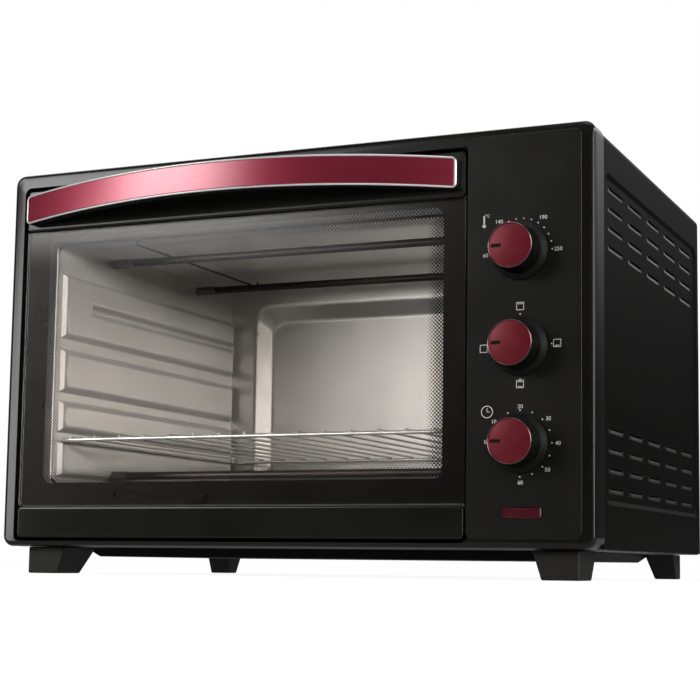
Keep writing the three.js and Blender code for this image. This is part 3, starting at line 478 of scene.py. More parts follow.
materialOfSlot = {
    "gloss_black_plastic": polishedAbs, "panel_black_plastic": satinAbs,
    "black_enamelled_steel": powderCoat, "galvanised_steel": galvanised,
    "zinc_plated_steel": zincPlate, "bell_steel": bellSteel, "grey_cavity_enamel": cavitySteel,
    "heater_steel": heaterSheath, "chromed_wire": chromedWire, "door_glass": doorGlass,
    "matt_black_plastic": mattPlastic, "chrome_trim": chromeTrim,
    "red_anodised_aluminium": anodised, "switch_plastic": switchPlastic, "red_lens": redLens,
}
for nodeName, node in nodes.items():
    node.data.materials.clear()
    node.data.materials.append(materialOfSlot[slotOfNode[nodeName]])
print("materials on", len(nodes), "nodes")


# Where things are: X from the middle, Y back from the frame's face, Z up, all in millimetres
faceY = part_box("front_frame")[0].y


def at(x, y, z):
    return Vector((x * mm, faceY + y * mm, z * mm))


# Housing front: the moulded frame, crowned round its border, and the control panel

frontFrameShape = {
    "crownFrom": (-248, 250, 27, 330.6),   # left, right, bottom and top lines where the border falls away
    "fall": 0.1, "crownDepth": 4.0, "edge": 0.9,
}


def makeFrontFrame(shape):
    frontFrame = refine("front_frame", polishedAbs)
    left, right, bottom, top = shape["crownFrom"]
    selectOnly(frontFrame)
    for place, normal in ((at(left, 0, 0), (1, 0, 0)), (at(right, 0, 0), (1, 0, 0)),
                          (at(0, 0, bottom), (0, 0, 1)), (at(0, 0, top), (0, 0, 1))):
        bpy.ops.object.mode_set(mode="EDIT")
        bpy.ops.mesh.select_all(action="SELECT")
        bpy.ops.mesh.bisect(plane_co=place, plane_no=normal)
        leaveEdit()
    deepest = shape["crownDepth"] * mm
    for point in frontFrame.data.vertices:
        depth = point.co.y - faceY
        if depth < deepest:
            out = max(left * mm - point.co.x, point.co.x - right * mm, 0)
            rise = max(bottom * mm - point.co.z, point.co.z - top * mm, 0)
            point.co.y += shape["fall"] * math.hypot(out, rise) * (1 - depth / deepest)
    roundEdges(frontFrame, shape["edge"] * mm, segments=3, sharper=28)
    smooth(frontFrame, 30)


# Plain pieces: material, radius of the edges in millimetres, its steps, and how sharp an edge must be
frontPieces = {
    "control_panel": {"material": satinAbs, "rounding": 0.7, "segments": 3},
    "front_plate": {"material": powderCoat, "rounding": 0.3},
}

makeFrontFrame(frontFrameShape)
for nodeName, settings in frontPieces.items():
    refine(nodeName, **settings)
print("housing front made")


# Door: two rails, glass with its printed border, the steel frame behind

doorPieces = {
    "door_top_rail": {"material": polishedAbs, "rounding": 0.8, "segments": 3},
    "door_bottom_rail": {"material": polishedAbs, "rounding": 0.8, "segments": 3},
    "door_inner_frame": {"material": galvanised, "rounding": 0.4, "sharper": 50},
    "door_glass": {"material": doorGlass, "rounding": 0.6},
}
for nodeName, settings in doorPieces.items():
    refine(nodeName, **settings)
bpy.data.objects["door_glass_finished"].visible_shadow = False   # so that lamps reach the cavity

# The ceramic print: solid black round the window, then dots that thin out inwards
glassPrintLook = {
    "window": (-223.5, 138.4, 75.5, 286.0), "corner": 8, "fade": 14, "pitch": 2.1, "soft": 0.16,
    "firstLevel": -0.1, "lastLevel": 1.15, "thinning": 2.4,
    "ink": "#0d0c0b", "roughness": (0.22, 0.38), "speckSize": 40,
    "thickness": 0.06, "behind": 0.03, "edge": 0.8,
}


def makePrintMaterial(look):
    material, tree, shader = newMaterial("black_ceramic_print", {"Base Color": linear(look["ink"])})
    left, right, bottom, top = look["window"]
    place = addNode(tree, "ShaderNodeTexCoord").outputs["Object"]
    parts = addNode(tree, "ShaderNodeSeparateXYZ", None, {0: place})
    corner = look["corner"] * mm
    wave = 2 * math.pi / (look["pitch"] * mm * math.sqrt(2))
    values = {"across": parts.outputs[0], "upright": parts.outputs[2]}
    # Each line has a name, what is calculated, and its two numbers or earlier names
    steps = (
        ("fromMiddleX", "SUBTRACT", "across", (left + right) / 2 * mm),
        ("sideways", "ABSOLUTE", "fromMiddleX", 0.0),
        ("beyondX", "SUBTRACT", "sideways", (right - left) / 2 * mm - corner),
        ("fromMiddleZ", "SUBTRACT", "upright", (bottom + top) / 2 * mm),
        ("updown", "ABSOLUTE", "fromMiddleZ", 0.0),
        ("beyondZ", "SUBTRACT", "updown", (top - bottom) / 2 * mm - corner),
        ("cornerX", "MAXIMUM", "beyondX", 0.0),
        ("cornerZ", "MAXIMUM", "beyondZ", 0.0),
        ("squareX", "MULTIPLY", "cornerX", "cornerX"),
        ("squareZ", "MULTIPLY", "cornerZ", "cornerZ"),
        ("squares", "ADD", "squareX", "squareZ"),
        ("reach", "SQRT", "squares", 0.0),
        ("larger", "MAXIMUM", "beyondX", "beyondZ"),
        ("within", "MINIMUM", "larger", 0.0),
        ("outside", "ADD", "reach", "within"),
        ("inward", "SUBTRACT", corner, "outside"),
        ("solid", "LESS_THAN", "inward", 0.0),
        ("diagonal", "ADD", "across", "upright"),
        ("risingPhase", "MULTIPLY", "diagonal", wave),
        ("rising", "COSINE", "risingPhase", 0.0),
        ("counter", "SUBTRACT", "across", "upright"),
        ("fallingPhase", "MULTIPLY", "counter", wave),
        ("falling", "COSINE", "fallingPhase", 0.0),
        ("both", "ADD", "rising", "falling"),
        ("lattice", "MULTIPLY", "both", 0.5),
        ("share", "DIVIDE", "inward", look["fade"] * mm),
        ("inside", "MAXIMUM", "share", 0.0),
        ("thinned", "POWER", "inside", look["thinning"]),
        ("rise", "MULTIPLY", "thinned", look["lastLevel"] - look["firstLevel"]),
        ("level", "ADD", "rise", look["firstLevel"]),
        ("over", "SUBTRACT", "lattice", "level"),
    )
    for name, operation, first, second in steps:
        values[name] = addNode(tree, "ShaderNodeMath", {"operation": operation},
                               {0: values.get(first, first), 1: values.get(second, second)}).outputs[0]
    ink = addNode(tree, "ShaderNodeMapRange", None,
                  {0: values["over"], 1: -look["soft"], 2: look["soft"], 3: 0.0, 4: 1.0})
    covered = addNode(tree, "ShaderNodeMath", {"operation": "MAXIMUM"},
                      {0: ink.outputs[0], 1: values["solid"]})
    tree.links.new(covered.outputs[0], shader.inputs["Alpha"])
    speck = addNode(tree, "ShaderNodeTexNoise", None,
                    {"Vector": place, "Scale": 1 / (look["speckSize"] * mm), "Detail": 3})
    low, high = look["roughness"]
    shine = addNode(tree, "ShaderNodeMapRange", None, {0: speck.outputs[0], 3: low, 4: high})
    tree.links.new(shine.outputs[0], shader.inputs["Roughness"])
    return material


def makeGlassPrint(look):
    low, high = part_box("door_glass")
    edge = look["edge"] * mm
    back = high.y + look["behind"] * mm
    sheet = addBlock((low.x + edge, back, low.z + edge),
                     (high.x - edge, back + look["thickness"] * mm, high.z - edge))
    sheet.visible_shadow = False
    finishPiece(sheet, "door_glass_print", makePrintMaterial(look), "door", "door_glass")


makeGlassPrint(glassPrintLook)
print("door made")


# Handle: a bowed grip, a bright trim round its front and a red insert in the trim

handleShape = {
    "middle": -44, "half": 197, "endZ": 309.3, "rise": 7.5, "front": -7.5, "bow": 29,
    "height": 24.6, "corner": 4, "trim": 1.6, "bead": 0.8,
    "insertFront": 0.45, "insertThickness": 1.2, "insertEdge": 0.35, "insertGap": 0.1,
    "gripFront": 1.9, "gripBack": 11, "gripInset": 0.1, "gripRound": 0.9, "cutAt": 0.2,
    "posts": (-233.5, 145.5), "postHalf": 5, "postHalfHeight": 10, "postFront": -5, "postRound": 1.5,
    "columns": 120,
}


def bendHandle(piece, shape):
    for point in piece.data.vertices:
        away = 1 - (point.co.x / (shape["half"] * mm)) ** 2
        point.co.x += shape["middle"] * mm
        point.co.y += faceY + (shape["front"] - shape["bow"] * away) * mm
        point.co.z += (shape["endZ"] + shape["rise"] * away) * mm


# A straight rounded band in X and Z, from front to back, with many columns so that it can be bent
def makeBand(shape, inset, front, back):
    half, height = shape["half"] - inset, shape["height"] - 2 * inset
    bpy.ops.object.select_all(action="DESELECT")
    bpy.ops.mesh.primitive_grid_add(x_subdivisions=shape["columns"], y_subdivisions=1, size=1,
                                    location=(0, front * mm, 0), rotation=(math.radians(90), 0, 0))
    band = bpy.context.active_object
    band.scale = (2 * half * mm, height * mm, 1)
    applyPlace(band)
    tall, long = height / 2 * mm * 0.99, half * mm * 0.999   # just inside the four corners
    bpy.ops.object.mode_set(mode="EDIT")
    bpy.ops.mesh.select_mode(type="VERT")
    bpy.ops.mesh.select_all(action="DESELECT")
    leaveEdit()
    for point in band.data.vertices:
        point.select = abs(point.co.x) > long and abs(point.co.z) > tall
    bpy.ops.object.mode_set(mode="EDIT")
    bpy.ops.mesh.bevel(offset=(shape["corner"] - inset) * mm, segments=6, affect="VERTICES")
    leaveEdit()
    return band


# Gives a flat piece its thickness, on one side or the other, and rounds its edges
def thicken(piece, thickness, edge, segments=3, offset=1):
    selectOnly(piece)
    wall = piece.modifiers.new("wall", "SOLIDIFY")
    wall.thickness = thickness
    wall.offset = offset
    bpy.ops.object.modifier_apply(modifier=wall.name)
    bpy.ops.object.mode_set(mode="EDIT")
    bpy.ops.mesh.select_all(action="SELECT")
    bpy.ops.mesh.normals_make_consistent(inside=False)
    leaveEdit()
    if edge:
        roundEdges(piece, edge, segments, 50)


# Turns a flat piece into a round bead that follows its outline
def sweepOutline(piece, radius):
    selectOnly(piece)
    bpy.ops.object.mode_set(mode="EDIT")
    bpy.ops.mesh.select_mode(type="FACE")
    bpy.ops.mesh.select_all(action="SELECT")
    bpy.ops.mesh.region_to_loop()
    bpy.ops.mesh.select_all(action="INVERT")
    bpy.ops.mesh.delete(type="EDGE")
    leaveEdit()
    bpy.ops.object.convert(target="CURVE")
    bead = bpy.context.active_object
    bead.data.fill_mode = "FULL"
    bead.data.bevel_depth = radius
    bead.data.bevel_resolution = 3
    bpy.ops.object.convert(target="MESH")
    bead = bpy.context.active_object
    bpy.ops.object.mode_set(mode="EDIT")
    bpy.ops.mesh.select_all(action="SELECT")
    bpy.ops.mesh.remove_doubles(threshold=0.001 * mm)
    bpy.ops.mesh.normals_make_consistent(inside=False)
    leaveEdit()
    return bead


def makeHandle(shape):
    trim = sweepOutline(makeBand(shape, shape["bead"], shape["bead"], 0), shape["bead"] * mm)
    bendHandle(trim, shape)
    smooth(trim, 60)
    finishPiece(trim, "handle_trim_finished", chromeTrim, "door", "chrome_trim", "handle_trim")

    insert = makeBand(shape, shape["trim"] + shape["insertGap"], shape["insertFront"], 0)
    thicken(insert, shape["insertThickness"] * mm, shape["insertEdge"] * mm, 3, -1)
    bendHandle(insert, shape)
    smooth(insert, 50)
    finishPiece(insert, "handle_insert_finished", anodised, "door", "red_anodised_aluminium",
                "handle_insert")

    grip = makeBand(shape, shape["gripInset"], shape["gripFront"], 0)
    thicken(grip, (shape["gripBack"] - shape["gripFront"]) * mm, 0, 1, -1)
    bendHandle(grip, shape)
    selectOnly(grip)
    bpy.ops.object.mode_set(mode="EDIT")
    bpy.ops.mesh.select_all(action="SELECT")
    bpy.ops.mesh.bisect(plane_co=at(0, shape["cutAt"], 0), plane_no=(0, 1, 0), use_fill=True,
                        clear_outer=True)
    leaveEdit()
    roundEdges(grip, shape["gripRound"] * mm, 3, 50)
    posts = []
    bottom, top = shape["endZ"] - shape["postHalfHeight"], shape["endZ"] + shape["postHalfHeight"]
    for x in shape["posts"]:
        post = addBlock(at(x - shape["postHalf"], shape["postFront"], bottom),
                        at(x + shape["postHalf"], shape["cutAt"], top))
        roundEdges(post, shape["postRound"] * mm, 3)
        posts.append(post)
    grip = joinAll([grip] + posts)
    smooth(grip, 50)
    finishPiece(grip, "handle_grip_finished", mattPlastic, "door", "matt_black_plastic", "handle_grip")


makeHandle(handleShape)
print("handle made")


# Dials: a ribbed black body, a red cap with a pointer slot and a bright ring round the cap

dialShape = {
    "x": 202.4, "heights": {"temperature": 246.2, "function": 173.6, "timer": 101.0},
    "sides": 96, "base": 22.0, "baseBack": -1.1, "skirtFront": -3.4, "waist": 18.25, "waistAt": -6.1,
    "tip": 17.2, "tipAt": -25.2, "ribDepth": 0.35, "ribGap": 0.14, "seat": 16.5, "seatDepth": 0.35,
    "cap": 16.25, "capFront": -26.4, "capBack": -25.2, "capEdge": 0.25, "crown": 0.8, "domeRings": 6,
    "ring": 16.75, "ringHalf": 0.27, "ringDepth": 2.4, "ringFront": -26.6, "edge": 0.3,
    "slotLength": 8.5, "slotWidth": 2.6, "slotFrom": 1.2, "slotRoundShare": 0.45,
}


def addDisc(shape, radius, back, front, z, sides):
    bpy.ops.object.select_all(action="DESELECT")
    bpy.ops.mesh.primitive_cylinder_add(vertices=sides, radius=radius * mm, depth=(back - front) * mm,
                                        location=at(shape["x"], (back + front) / 2, z),
                                        rotation=(math.radians(90), 0, 0))
    disc = bpy.context.active_object
    applyPlace(disc)
    return disc


# The body tapers to its tip, flares to a skirt at its back and is pressed in between its ribs
def makeKnob(name, z, shape):
    knob = addDisc(shape, shape["tip"], shape["waistAt"], shape["tipAt"], z, shape["sides"])
    backY = faceY + shape["waistAt"] * mm
    pickFaces(knob, lambda center, normal: normal.y > 0.9)
    bpy.ops.transform.resize(value=(shape["waist"] / shape["tip"], 1, shape["waist"] / shape["tip"]))
    flare = shape["base"] / shape["waist"]
    bpy.ops.mesh.extrude_region_move(
        TRANSFORM_OT_translate={"value": (0, (shape["skirtFront"] - shape["waistAt"]) * mm, 0)})
    bpy.ops.transform.resize(value=(flare, 1, flare))
    bpy.ops.mesh.extrude_region_move(
        TRANSFORM_OT_translate={"value": (0, (shape["baseBack"] - shape["skirtFront"]) * mm, 0)})
    leaveEdit()
    pickFaces(knob, lambda center, normal: normal.y < -0.9)
    bpy.ops.mesh.inset(thickness=(shape["tip"] - shape["seat"]) * mm)
    bpy.ops.mesh.extrude_region_move(TRANSFORM_OT_translate={"value": (0, shape["seatDepth"] * mm, 0)})
    leaveEdit()
    pickFaces(knob, lambda center, normal: abs(normal.y) < 0.3 and center.y < backY)
    bpy.ops.mesh.inset(thickness=shape["ribGap"] * mm, depth=-shape["ribDepth"] * mm, use_individual=True)
    leaveEdit()
    roundEdges(knob, shape["edge"] * mm, 2, 50)
    smooth(knob, 35)
    finishPiece(knob, name + "_knob_finished", knobPlastic, name + "_dial", "matt_black_plastic",
                name + "_knob")


# The cap is domed, with a slot through it that points at the print
def makeCap(name, z, shape):
    cap = addDisc(shape, shape["cap"], shape["capBack"], shape["capFront"], z, shape["sides"])
    pickFaces(cap, lambda center, normal: normal.y < -0.9)
    for step in range(shape["domeRings"]):
        bpy.ops.mesh.inset(thickness=shape["cap"] / (shape["domeRings"] + 1) * mm)
    leaveEdit()
    middle = at(shape["x"], shape["capFront"], z)
    for point in cap.data.vertices:
        if abs(point.co.y - middle.y) < 0.1 * mm:
            away = math.hypot(point.co.x - middle.x, point.co.z - middle.z) / (shape["cap"] * mm)
            point.co.y += shape["crown"] * mm * away ** 2
    slotStart = shape["x"] - shape["cap"] + shape["slotFrom"]
    slot = addBlock(at(slotStart, shape["capFront"] - 2, z - shape["slotWidth"] / 2),
                    at(slotStart + shape["slotLength"], shape["capBack"] + 2, z + shape["slotWidth"] / 2))
    pickEdges(slot, lambda a, b: abs(a.y - b.y) > 1 * mm)
    bpy.ops.mesh.bevel(offset=shape["slotWidth"] * shape["slotRoundShare"] * mm, segments=5)
    leaveEdit()
    selectOnly(cap)
    cut = cap.modifiers.new("slot", "BOOLEAN")
    cut.object = slot
    bpy.ops.object.modifier_apply(modifier=cut.name)
    bpy.data.objects.remove(slot)
    roundEdges(cap, shape["capEdge"] * mm, 3, 50)
    smooth(cap, 35)
    finishPiece(cap, name + "_knob_cap_finished", capSheet, name + "_dial", "red_anodised_aluminium",
                name + "_knob_cap")


# The ring round the cap is deeper than it is wide
def makeRing(name, z, shape):
    middle = shape["ringFront"] + shape["ringDepth"] * shape["ringHalf"]
    bpy.ops.object.select_all(action="DESELECT")
    bpy.ops.mesh.primitive_torus_add(major_segments=shape["sides"], minor_segments=12,
                                     major_radius=shape["ring"] * mm, minor_radius=shape["ringHalf"] * mm,
                                     location=at(shape["x"], middle, z), rotation=(math.radians(90), 0, 0))
    ring = bpy.context.active_object
    ring.scale.z = shape["ringDepth"]
    applyPlace(ring)
    smooth(ring, 60)
    finishPiece(ring, name + "_knob_ring_finished", capRing, name + "_dial", "chrome_trim",
                name + "_knob_ring")


for dialName, dialZ in dialShape["heights"].items():
    makeKnob(dialName, dialZ, dialShape)
    makeCap(dialName, dialZ, dialShape)
    makeRing(dialName, dialZ, dialShape)
print("dials made")


# Printing on the control panel: numbers, dots and symbols in pale ink

panelPrintShape = {
    "front": -0.82, "thickness": 0.03, "textSize": 4.3, "dot": 0.55, "dotSides": 12,
    "temperatureDots": {"radius": 25.0, "from": 338, "to": 90, "count": 9},
    "timerDots": {"radius": 24.8, "from": 337.5, "to": 180, "count": 10},
    # Numbers of the temperature dial, then of the timer
    "numbers": (
        ("60", 174.7, 244.3), ("140", 185.4, 269.6), ("190", 220.3, 270.7), ("250", 232.0, 246.0),
        ("10", 181.8, 117.5), ("20", 202.6, 128.5), ("30", 224.4, 119.0), ("40", 231.9, 100.6),
        ("50", 223.8, 81.1), ("60", 202.8, 71.7), ("0", 175.2, 102.4),
    ),
    "modes": {"top": (202.3, 204.2), "bottom": (231.2, 175.1), "both": (202.4, 145.4),
              "plain": (173.5, 173.1)},
    "modeSize": 6.0, "modeDots": 24.6, "line": 0.45, "barShare": 0.6, "barRiseShare": 0.5,
    "clock": (176.4, 125.1), "clockRadius": 4.7, "clockLineShare": 1.3, "minuteShare": 0.65,
    "hourShare": 0.5,
    "thermometer": (173.4, 266.0, 275.0), "bulb": 1.4, "bulbUp": 1.2, "stemHalf": 0.55,
    "unit": (176.9, 274.7), "unitSize": 3.2, "degree": 0.6, "degreeLine": 0.25, "degreeOff": (-1.9, 1.0),
}


# Leaves only the border of a flat shape, as a line
def keepBorder(line):
    bpy.ops.object.mode_set(mode="EDIT")
    bpy.ops.mesh.select_mode(type="FACE")
    bpy.ops.mesh.select_all(action="SELECT")
    bpy.ops.mesh.inset(thickness=line * mm)
    bpy.ops.mesh.delete(type="FACE")
    leaveEdit()


def addRingLine(x, z, radius, line, sides=40):
    bpy.ops.object.select_all(action="DESELECT")
    bpy.ops.mesh.primitive_circle_add(vertices=sides, radius=radius * mm, fill_type="NGON",
                                      location=at(x, panelPrintShape["front"], z),
                                      rotation=(math.radians(90), 0, 0))
    ring = bpy.context.active_object
    applyPlace(ring)
    if line:
        keepBorder(line)
    return ring


def addPatch(x0, z0, x1, z1, line=0.0):
    bpy.ops.object.select_all(action="DESELECT")
    middle = at((x0 + x1) / 2, panelPrintShape["front"], (z0 + z1) / 2)
    bpy.ops.mesh.primitive_plane_add(size=1, location=middle, rotation=(math.radians(90), 0, 0))
    patch = bpy.context.active_object
    patch.scale = ((x1 - x0) * mm, (z1 - z0) * mm, 1)
    applyPlace(patch)
    if line:
        keepBorder(line)
    return patch


def addText(words, x, z, size):
    bpy.ops.object.select_all(action="DESELECT")
    bpy.ops.object.text_add(location=at(x, panelPrintShape["front"], z), rotation=(math.radians(90), 0, 0))
    text = bpy.context.active_object
    text.data.body = words
    text.data.size = size * mm
    text.data.align_x = "CENTER"
    text.data.align_y = "CENTER"
    text.data.resolution_u = 3
    bpy.ops.object.convert(target="MESH")
    text = bpy.context.active_object
    applyPlace(text)
    return text


def makePanelPrint(shape):
    x = dialShape["x"]
    marks = [addText(words, textX, textZ, shape["textSize"]) for words, textX, textZ in shape["numbers"]]
    for dots, z in ((shape["temperatureDots"], dialShape["heights"]["temperature"]),
                    (shape["timerDots"], dialShape["heights"]["timer"])):
        sweep = (dots["to"] - dots["from"]) % 360
        for step in range(dots["count"]):
            turn = math.radians(dots["from"] + sweep * step / (dots["count"] - 1))
            marks.append(addRingLine(x + dots["radius"] * math.sin(turn), z + dots["radius"] * math.cos(turn),
                                     shape["dot"], 0, shape["dotSides"]))
    half, line = shape["modeSize"] / 2, shape["line"]
    reach, rise = half * shape["barShare"], half * shape["barRiseShare"]
    middle = dialShape["heights"]["function"]
    for mode, (modeX, modeZ) in shape["modes"].items():
        marks.append(addPatch(modeX - half, modeZ - half, modeX + half, modeZ + half, line))
        if mode in ("top", "both"):
            marks.append(addPatch(modeX - reach, modeZ + rise, modeX + reach, modeZ + rise + line))
        if mode in ("bottom", "both"):
            marks.append(addPatch(modeX - reach, modeZ - rise - line, modeX + reach, modeZ - rise))
        way = Vector((modeX - x, 0, modeZ - middle)).normalized()
        marks.append(addRingLine(x + way.x * shape["modeDots"], middle + way.z * shape["modeDots"],
                                 shape["dot"], 0, shape["dotSides"]))
    clockX, clockZ = shape["clock"]
    radius = shape["clockRadius"]
    marks.append(addRingLine(clockX, clockZ, radius, line * shape["clockLineShare"]))
    minute, hour = radius * shape["minuteShare"], radius * shape["hourShare"]
    marks.append(addPatch(clockX - line / 2, clockZ, clockX + line / 2, clockZ + minute))
    marks.append(addPatch(clockX, clockZ - line / 2, clockX + hour, clockZ + line / 2))
    stemX, stemLow, stemTop = shape["thermometer"]
    bulbZ = stemLow + shape["bulbUp"]
    marks.append(addRingLine(stemX, bulbZ, shape["bulb"], 0, 20))
    marks.append(addPatch(stemX - shape["stemHalf"], bulbZ, stemX + shape["stemHalf"], stemTop))
    unitX, unitZ = shape["unit"]
    offX, offZ = shape["degreeOff"]
    marks.append(addRingLine(unitX + offX, unitZ + offZ, shape["degree"], shape["degreeLine"], 14))
    marks.append(addText("C", unitX, unitZ, shape["unitSize"]))
    marks = joinAll(marks)
    thicken(marks, shape["thickness"] * mm, 0, 1, 1)
    finishPiece(marks, "panel_print", paleInk, "housing", "panel_black_plastic")


# Pad printed ink: pale grey, dry, a little uneven where the pad lifted
paleInkLook = {
    "shader": {"Specular IOR Level": 0.4},
    "dark": "#b2b1ab", "light": "#d6d5cf", "driftSize": 3, "roughness": (0.5, 0.65),
    "grainSize": 0.5, "grain": 0.05, "grainDepth": 0.01,
}
paleInk = finishFromLook("pale_pad_ink", paleInkLook)
makePanelPrint(panelPrintShape)
refine("indicator_lens", redLens, rounding=0.6, segments=3)
print("panel printed")


# Body: the deep drawn cover, base, back and feet

coverShape = {
    "face": 259.1, "middleY": 192.8, "middleZ": 183.75, "halfY": 159.2, "halfZ": 123.45,
    "slope": 3.5, "margin": 1, "near": 0.05,
}


# The cover's sides are pressed in by a soft step, not by a sharp one
def makeCover(shape):
    cover = refine("outer_cover", powderCoat)
    for point in cover.data.vertices:
        y, z = (point.co.y - faceY) / mm - shape["middleY"], point.co.z / mm - shape["middleZ"]
        inField = abs(y) < shape["halfY"] + shape["margin"] and abs(z) < shape["halfZ"] + shape["margin"]
        if inField and abs(abs(point.co.x) / mm - shape["face"]) < shape["near"]:
            point.co.y += y / shape["halfY"] * shape["slope"] * mm
            point.co.z += z / shape["halfZ"] * shape["slope"] * mm
    smooth(cover, 50)


makeCover(coverShape)
bodyPieces = {
    "back_panel": {"material": blackSheet, "rounding": 0.3, "sharper": 50},
    "base_pan": {"material": powderCoat, "rounding": 0.8},
    "front_left_foot": {"material": mattPlastic, "rounding": 1.2, "segments": 3},
    "front_right_foot": {"material": mattPlastic, "rounding": 1.2, "segments": 3},
    "rear_left_foot": {"material": mattPlastic, "rounding": 1.2, "segments": 3},
    "rear_right_foot": {"material": mattPlastic, "rounding": 1.2, "segments": 3},
    "cord_inlet": {"material": mattPlastic, "rounding": 0.6},
}
for nodeName, settings in bodyPieces.items():
    refine(nodeName, **settings)
print("body made")


# Rounds picked edges only, also where short edges stand close by
def roundPicked(piece, test, width, segments):
    pickEdges(piece, test)
    bpy.ops.mesh.bevel(offset=width * mm, segments=segments, clamp_overlap=False)
    leaveEdit()


# Cavity: aluminised shell with pressed pads, embossed back, heaters, hanger, rack and tray

cavityShape = {
    "left": -225.2, "right": 142.2, "front": 21.8, "back": 337.8, "floor": 72.0, "ceiling": 291.6,
    "reach": 6, "padRound": 2.0, "rootRound": 0.8, "near": 0.02, "rimClear": 1,
    "embossRound": 2.5, "backRim": 3, "wallNear": 0.6, "deepNear": 1.3, "level": 0.01,
    "beadY": 19.4, "bead": 1.2,
    "heaterY": (107.8, 261.8), "heaterZ": {"upper": 281.6, "lower": 87.0}, "holeClear": 5,
}


# The pads' long edges and their roots are rounded, but not round the holes of the heaters
def makeCavityShell(shape):
    shell = refine("cavity_shell", cavitySteel)

    def atHole(point):
        return any((point - at(point.x / mm, y, z)).length < shape["holeClear"] * mm
                   for y in shape["heaterY"] for z in shape["heaterZ"].values())

    def onFace(point):
        near = min(abs(point.x / mm - shape["left"] - shape["reach"]),
                   abs(point.x / mm - shape["right"] + shape["reach"]))
        return near < shape["near"]

    def onRoot(point):
        near = min(abs(point.x / mm - shape["left"]), abs(point.x / mm - shape["right"]))
        away = min(point.z / mm - shape["floor"], shape["ceiling"] - point.z / mm,
                   (point.y - faceY) / mm - shape["front"], shape["back"] - (point.y - faceY) / mm)
        return near < shape["near"] and away > shape["rimClear"]

    for onLine, width, steps in ((onFace, shape["padRound"], 4), (onRoot, shape["rootRound"], 2)):
        roundPicked(shell, lambda a, b: onLine(a) and onLine(b) and not (atHole(a) and atHole(b)),
                    width, steps)
    smooth(shell, 40)


# The press field in the back is rounded where it leaves the wall and where it meets its floor
def makeCavityBack(shape):
    back = refine("cavity_back", cavitySteel)
    low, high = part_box("cavity_back")
    edge = shape["backRim"] * mm

    def inner(point):
        return (low.x + edge < point.x < high.x - edge) and (low.z + edge < point.z < high.z - edge)

    def isLevel(a, b):
        return inner(a) and inner(b) and abs(b.y - a.y) < shape["level"] * mm

    wallY = faceY + shape["back"] * mm
    deepest = max(point.co.y for point in back.data.vertices)
    roundPicked(back, lambda a, b: isLevel(a, b) and abs(a.y - wallY) < shape["wallNear"] * mm,
                shape["embossRound"], 5)
    roundPicked(back, lambda a, b: isLevel(a, b) and deepest - a.y < shape["deepNear"] * mm,
                shape["embossRound"], 5)
    smooth(back, 50)


# The cavity sheet is rolled over at the doorway, which makes a narrow bright bead all round; it takes the
# near-white trim finish, so its brightness is partly a painted highlight
def makeDoorwayBead(shape):
    bpy.ops.object.select_all(action="DESELECT")
    bpy.ops.mesh.primitive_plane_add(size=1, rotation=(math.radians(90), 0, 0), location=at(
        (shape["left"] + shape["right"]) / 2, shape["beadY"], (shape["floor"] + shape["ceiling"]) / 2))
    outline = bpy.context.active_object
    outline.scale = ((shape["right"] - shape["left"]) * mm, (shape["ceiling"] - shape["floor"]) * mm, 1)
    applyPlace(outline)
    bead = sweepOutline(outline, shape["bead"] * mm)
    smooth(bead, 60)
    finishPiece(bead, "doorway_bead", chromeTrim, "housing", "grey_cavity_enamel")


makeCavityShell(cavityShape)
makeCavityBack(cavityShape)
makeDoorwayBead(cavityShape)


# Heaters: straight sheathed rods, each with a bright collar where it enters the cavity
heaterShape = {"radius": 3.5, "collar": 4.1, "collarLength": 22, "nutSunk": 1.5, "edge": 0.6, "sides": 24}


def makeHeaters(shape, cavity):
    collars = []
    for levelName, z in cavity["heaterZ"].items():
        for rowName, y in zip(("front", "rear"), cavity["heaterY"]):
            nodeName = levelName + "_" + rowName + "_heater"
            low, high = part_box(nodeName)
            start, end = at(low.x / mm, y, z), at(high.x / mm, y, z)
            rod = addBar(start, end, shape["radius"] * mm, shape["sides"])
            boss = (high.z - low.z) / 2
            for outer in (start, end):
                inward = 1 if outer.x < 0 else -1
                wall = cavity["left"] if outer.x < 0 else cavity["right"]
                nut = addBar(outer, at(wall - inward * shape["nutSunk"], y, z), boss, shape["sides"])
                rod = joinAll([rod, nut])
                tip = at(wall + inward * shape["collarLength"], y, z)
                collars.append(addBar(at(wall, y, z), tip, shape["collar"] * mm, shape["sides"]))
            roundEdges(rod, shape["edge"] * mm, 2, 50)
            smooth(rod, 40)
            finishPiece(rod, nodeName + "_finished", heaterSheath, "housing", "heater_steel", nodeName)
    collars = joinAll(collars)
    roundEdges(collars, shape["edge"] * mm, 2, 50)
    smooth(collars, 40)
    finishPiece(collars, "heater_collars", heaterCollar, "housing", "heater_steel")


makeHeaters(heaterShape, cavityShape)

# Hanger: a thin bent wire under the upper heaters, up to the ceiling at both ends
hangerShape = {"radius": 1.0, "endsIn": 4}


def makeHanger(shape):
    low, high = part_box("heater_hanger")
    x, radius = (low.x + high.x) / 2, shape["radius"] * mm
    z = low.z + radius
    front = Vector((x, low.y + shape["endsIn"] * mm, z))
    back = Vector((x, high.y - shape["endsIn"] * mm, z))
    parts = [addBar(front, back, radius)]
    for end in (front, back):
        parts.append(addBar(end, Vector((x, end.y, high.z)), radius))
        bpy.ops.mesh.primitive_uv_sphere_add(segments=16, ring_count=8, radius=radius, location=end)
        parts.append(bpy.context.active_object)
        applyPlace(parts[-1])
    wire = joinAll(parts)
    smooth(wire, 60)
    finishPiece(wire, "heater_hanger_finished", heaterSheath, "housing", "galvanised_steel",
                "heater_hanger")


makeHanger(hangerShape)

# Rack: a bent rim and wires welded on top of it, with the blobs of their welds at the ends
rackShape = {"rim": 1.7, "wire": 1.0, "sunk": 0.4, "pitch": 23.8, "count": 15, "corner": 12, "weld": 1.4}


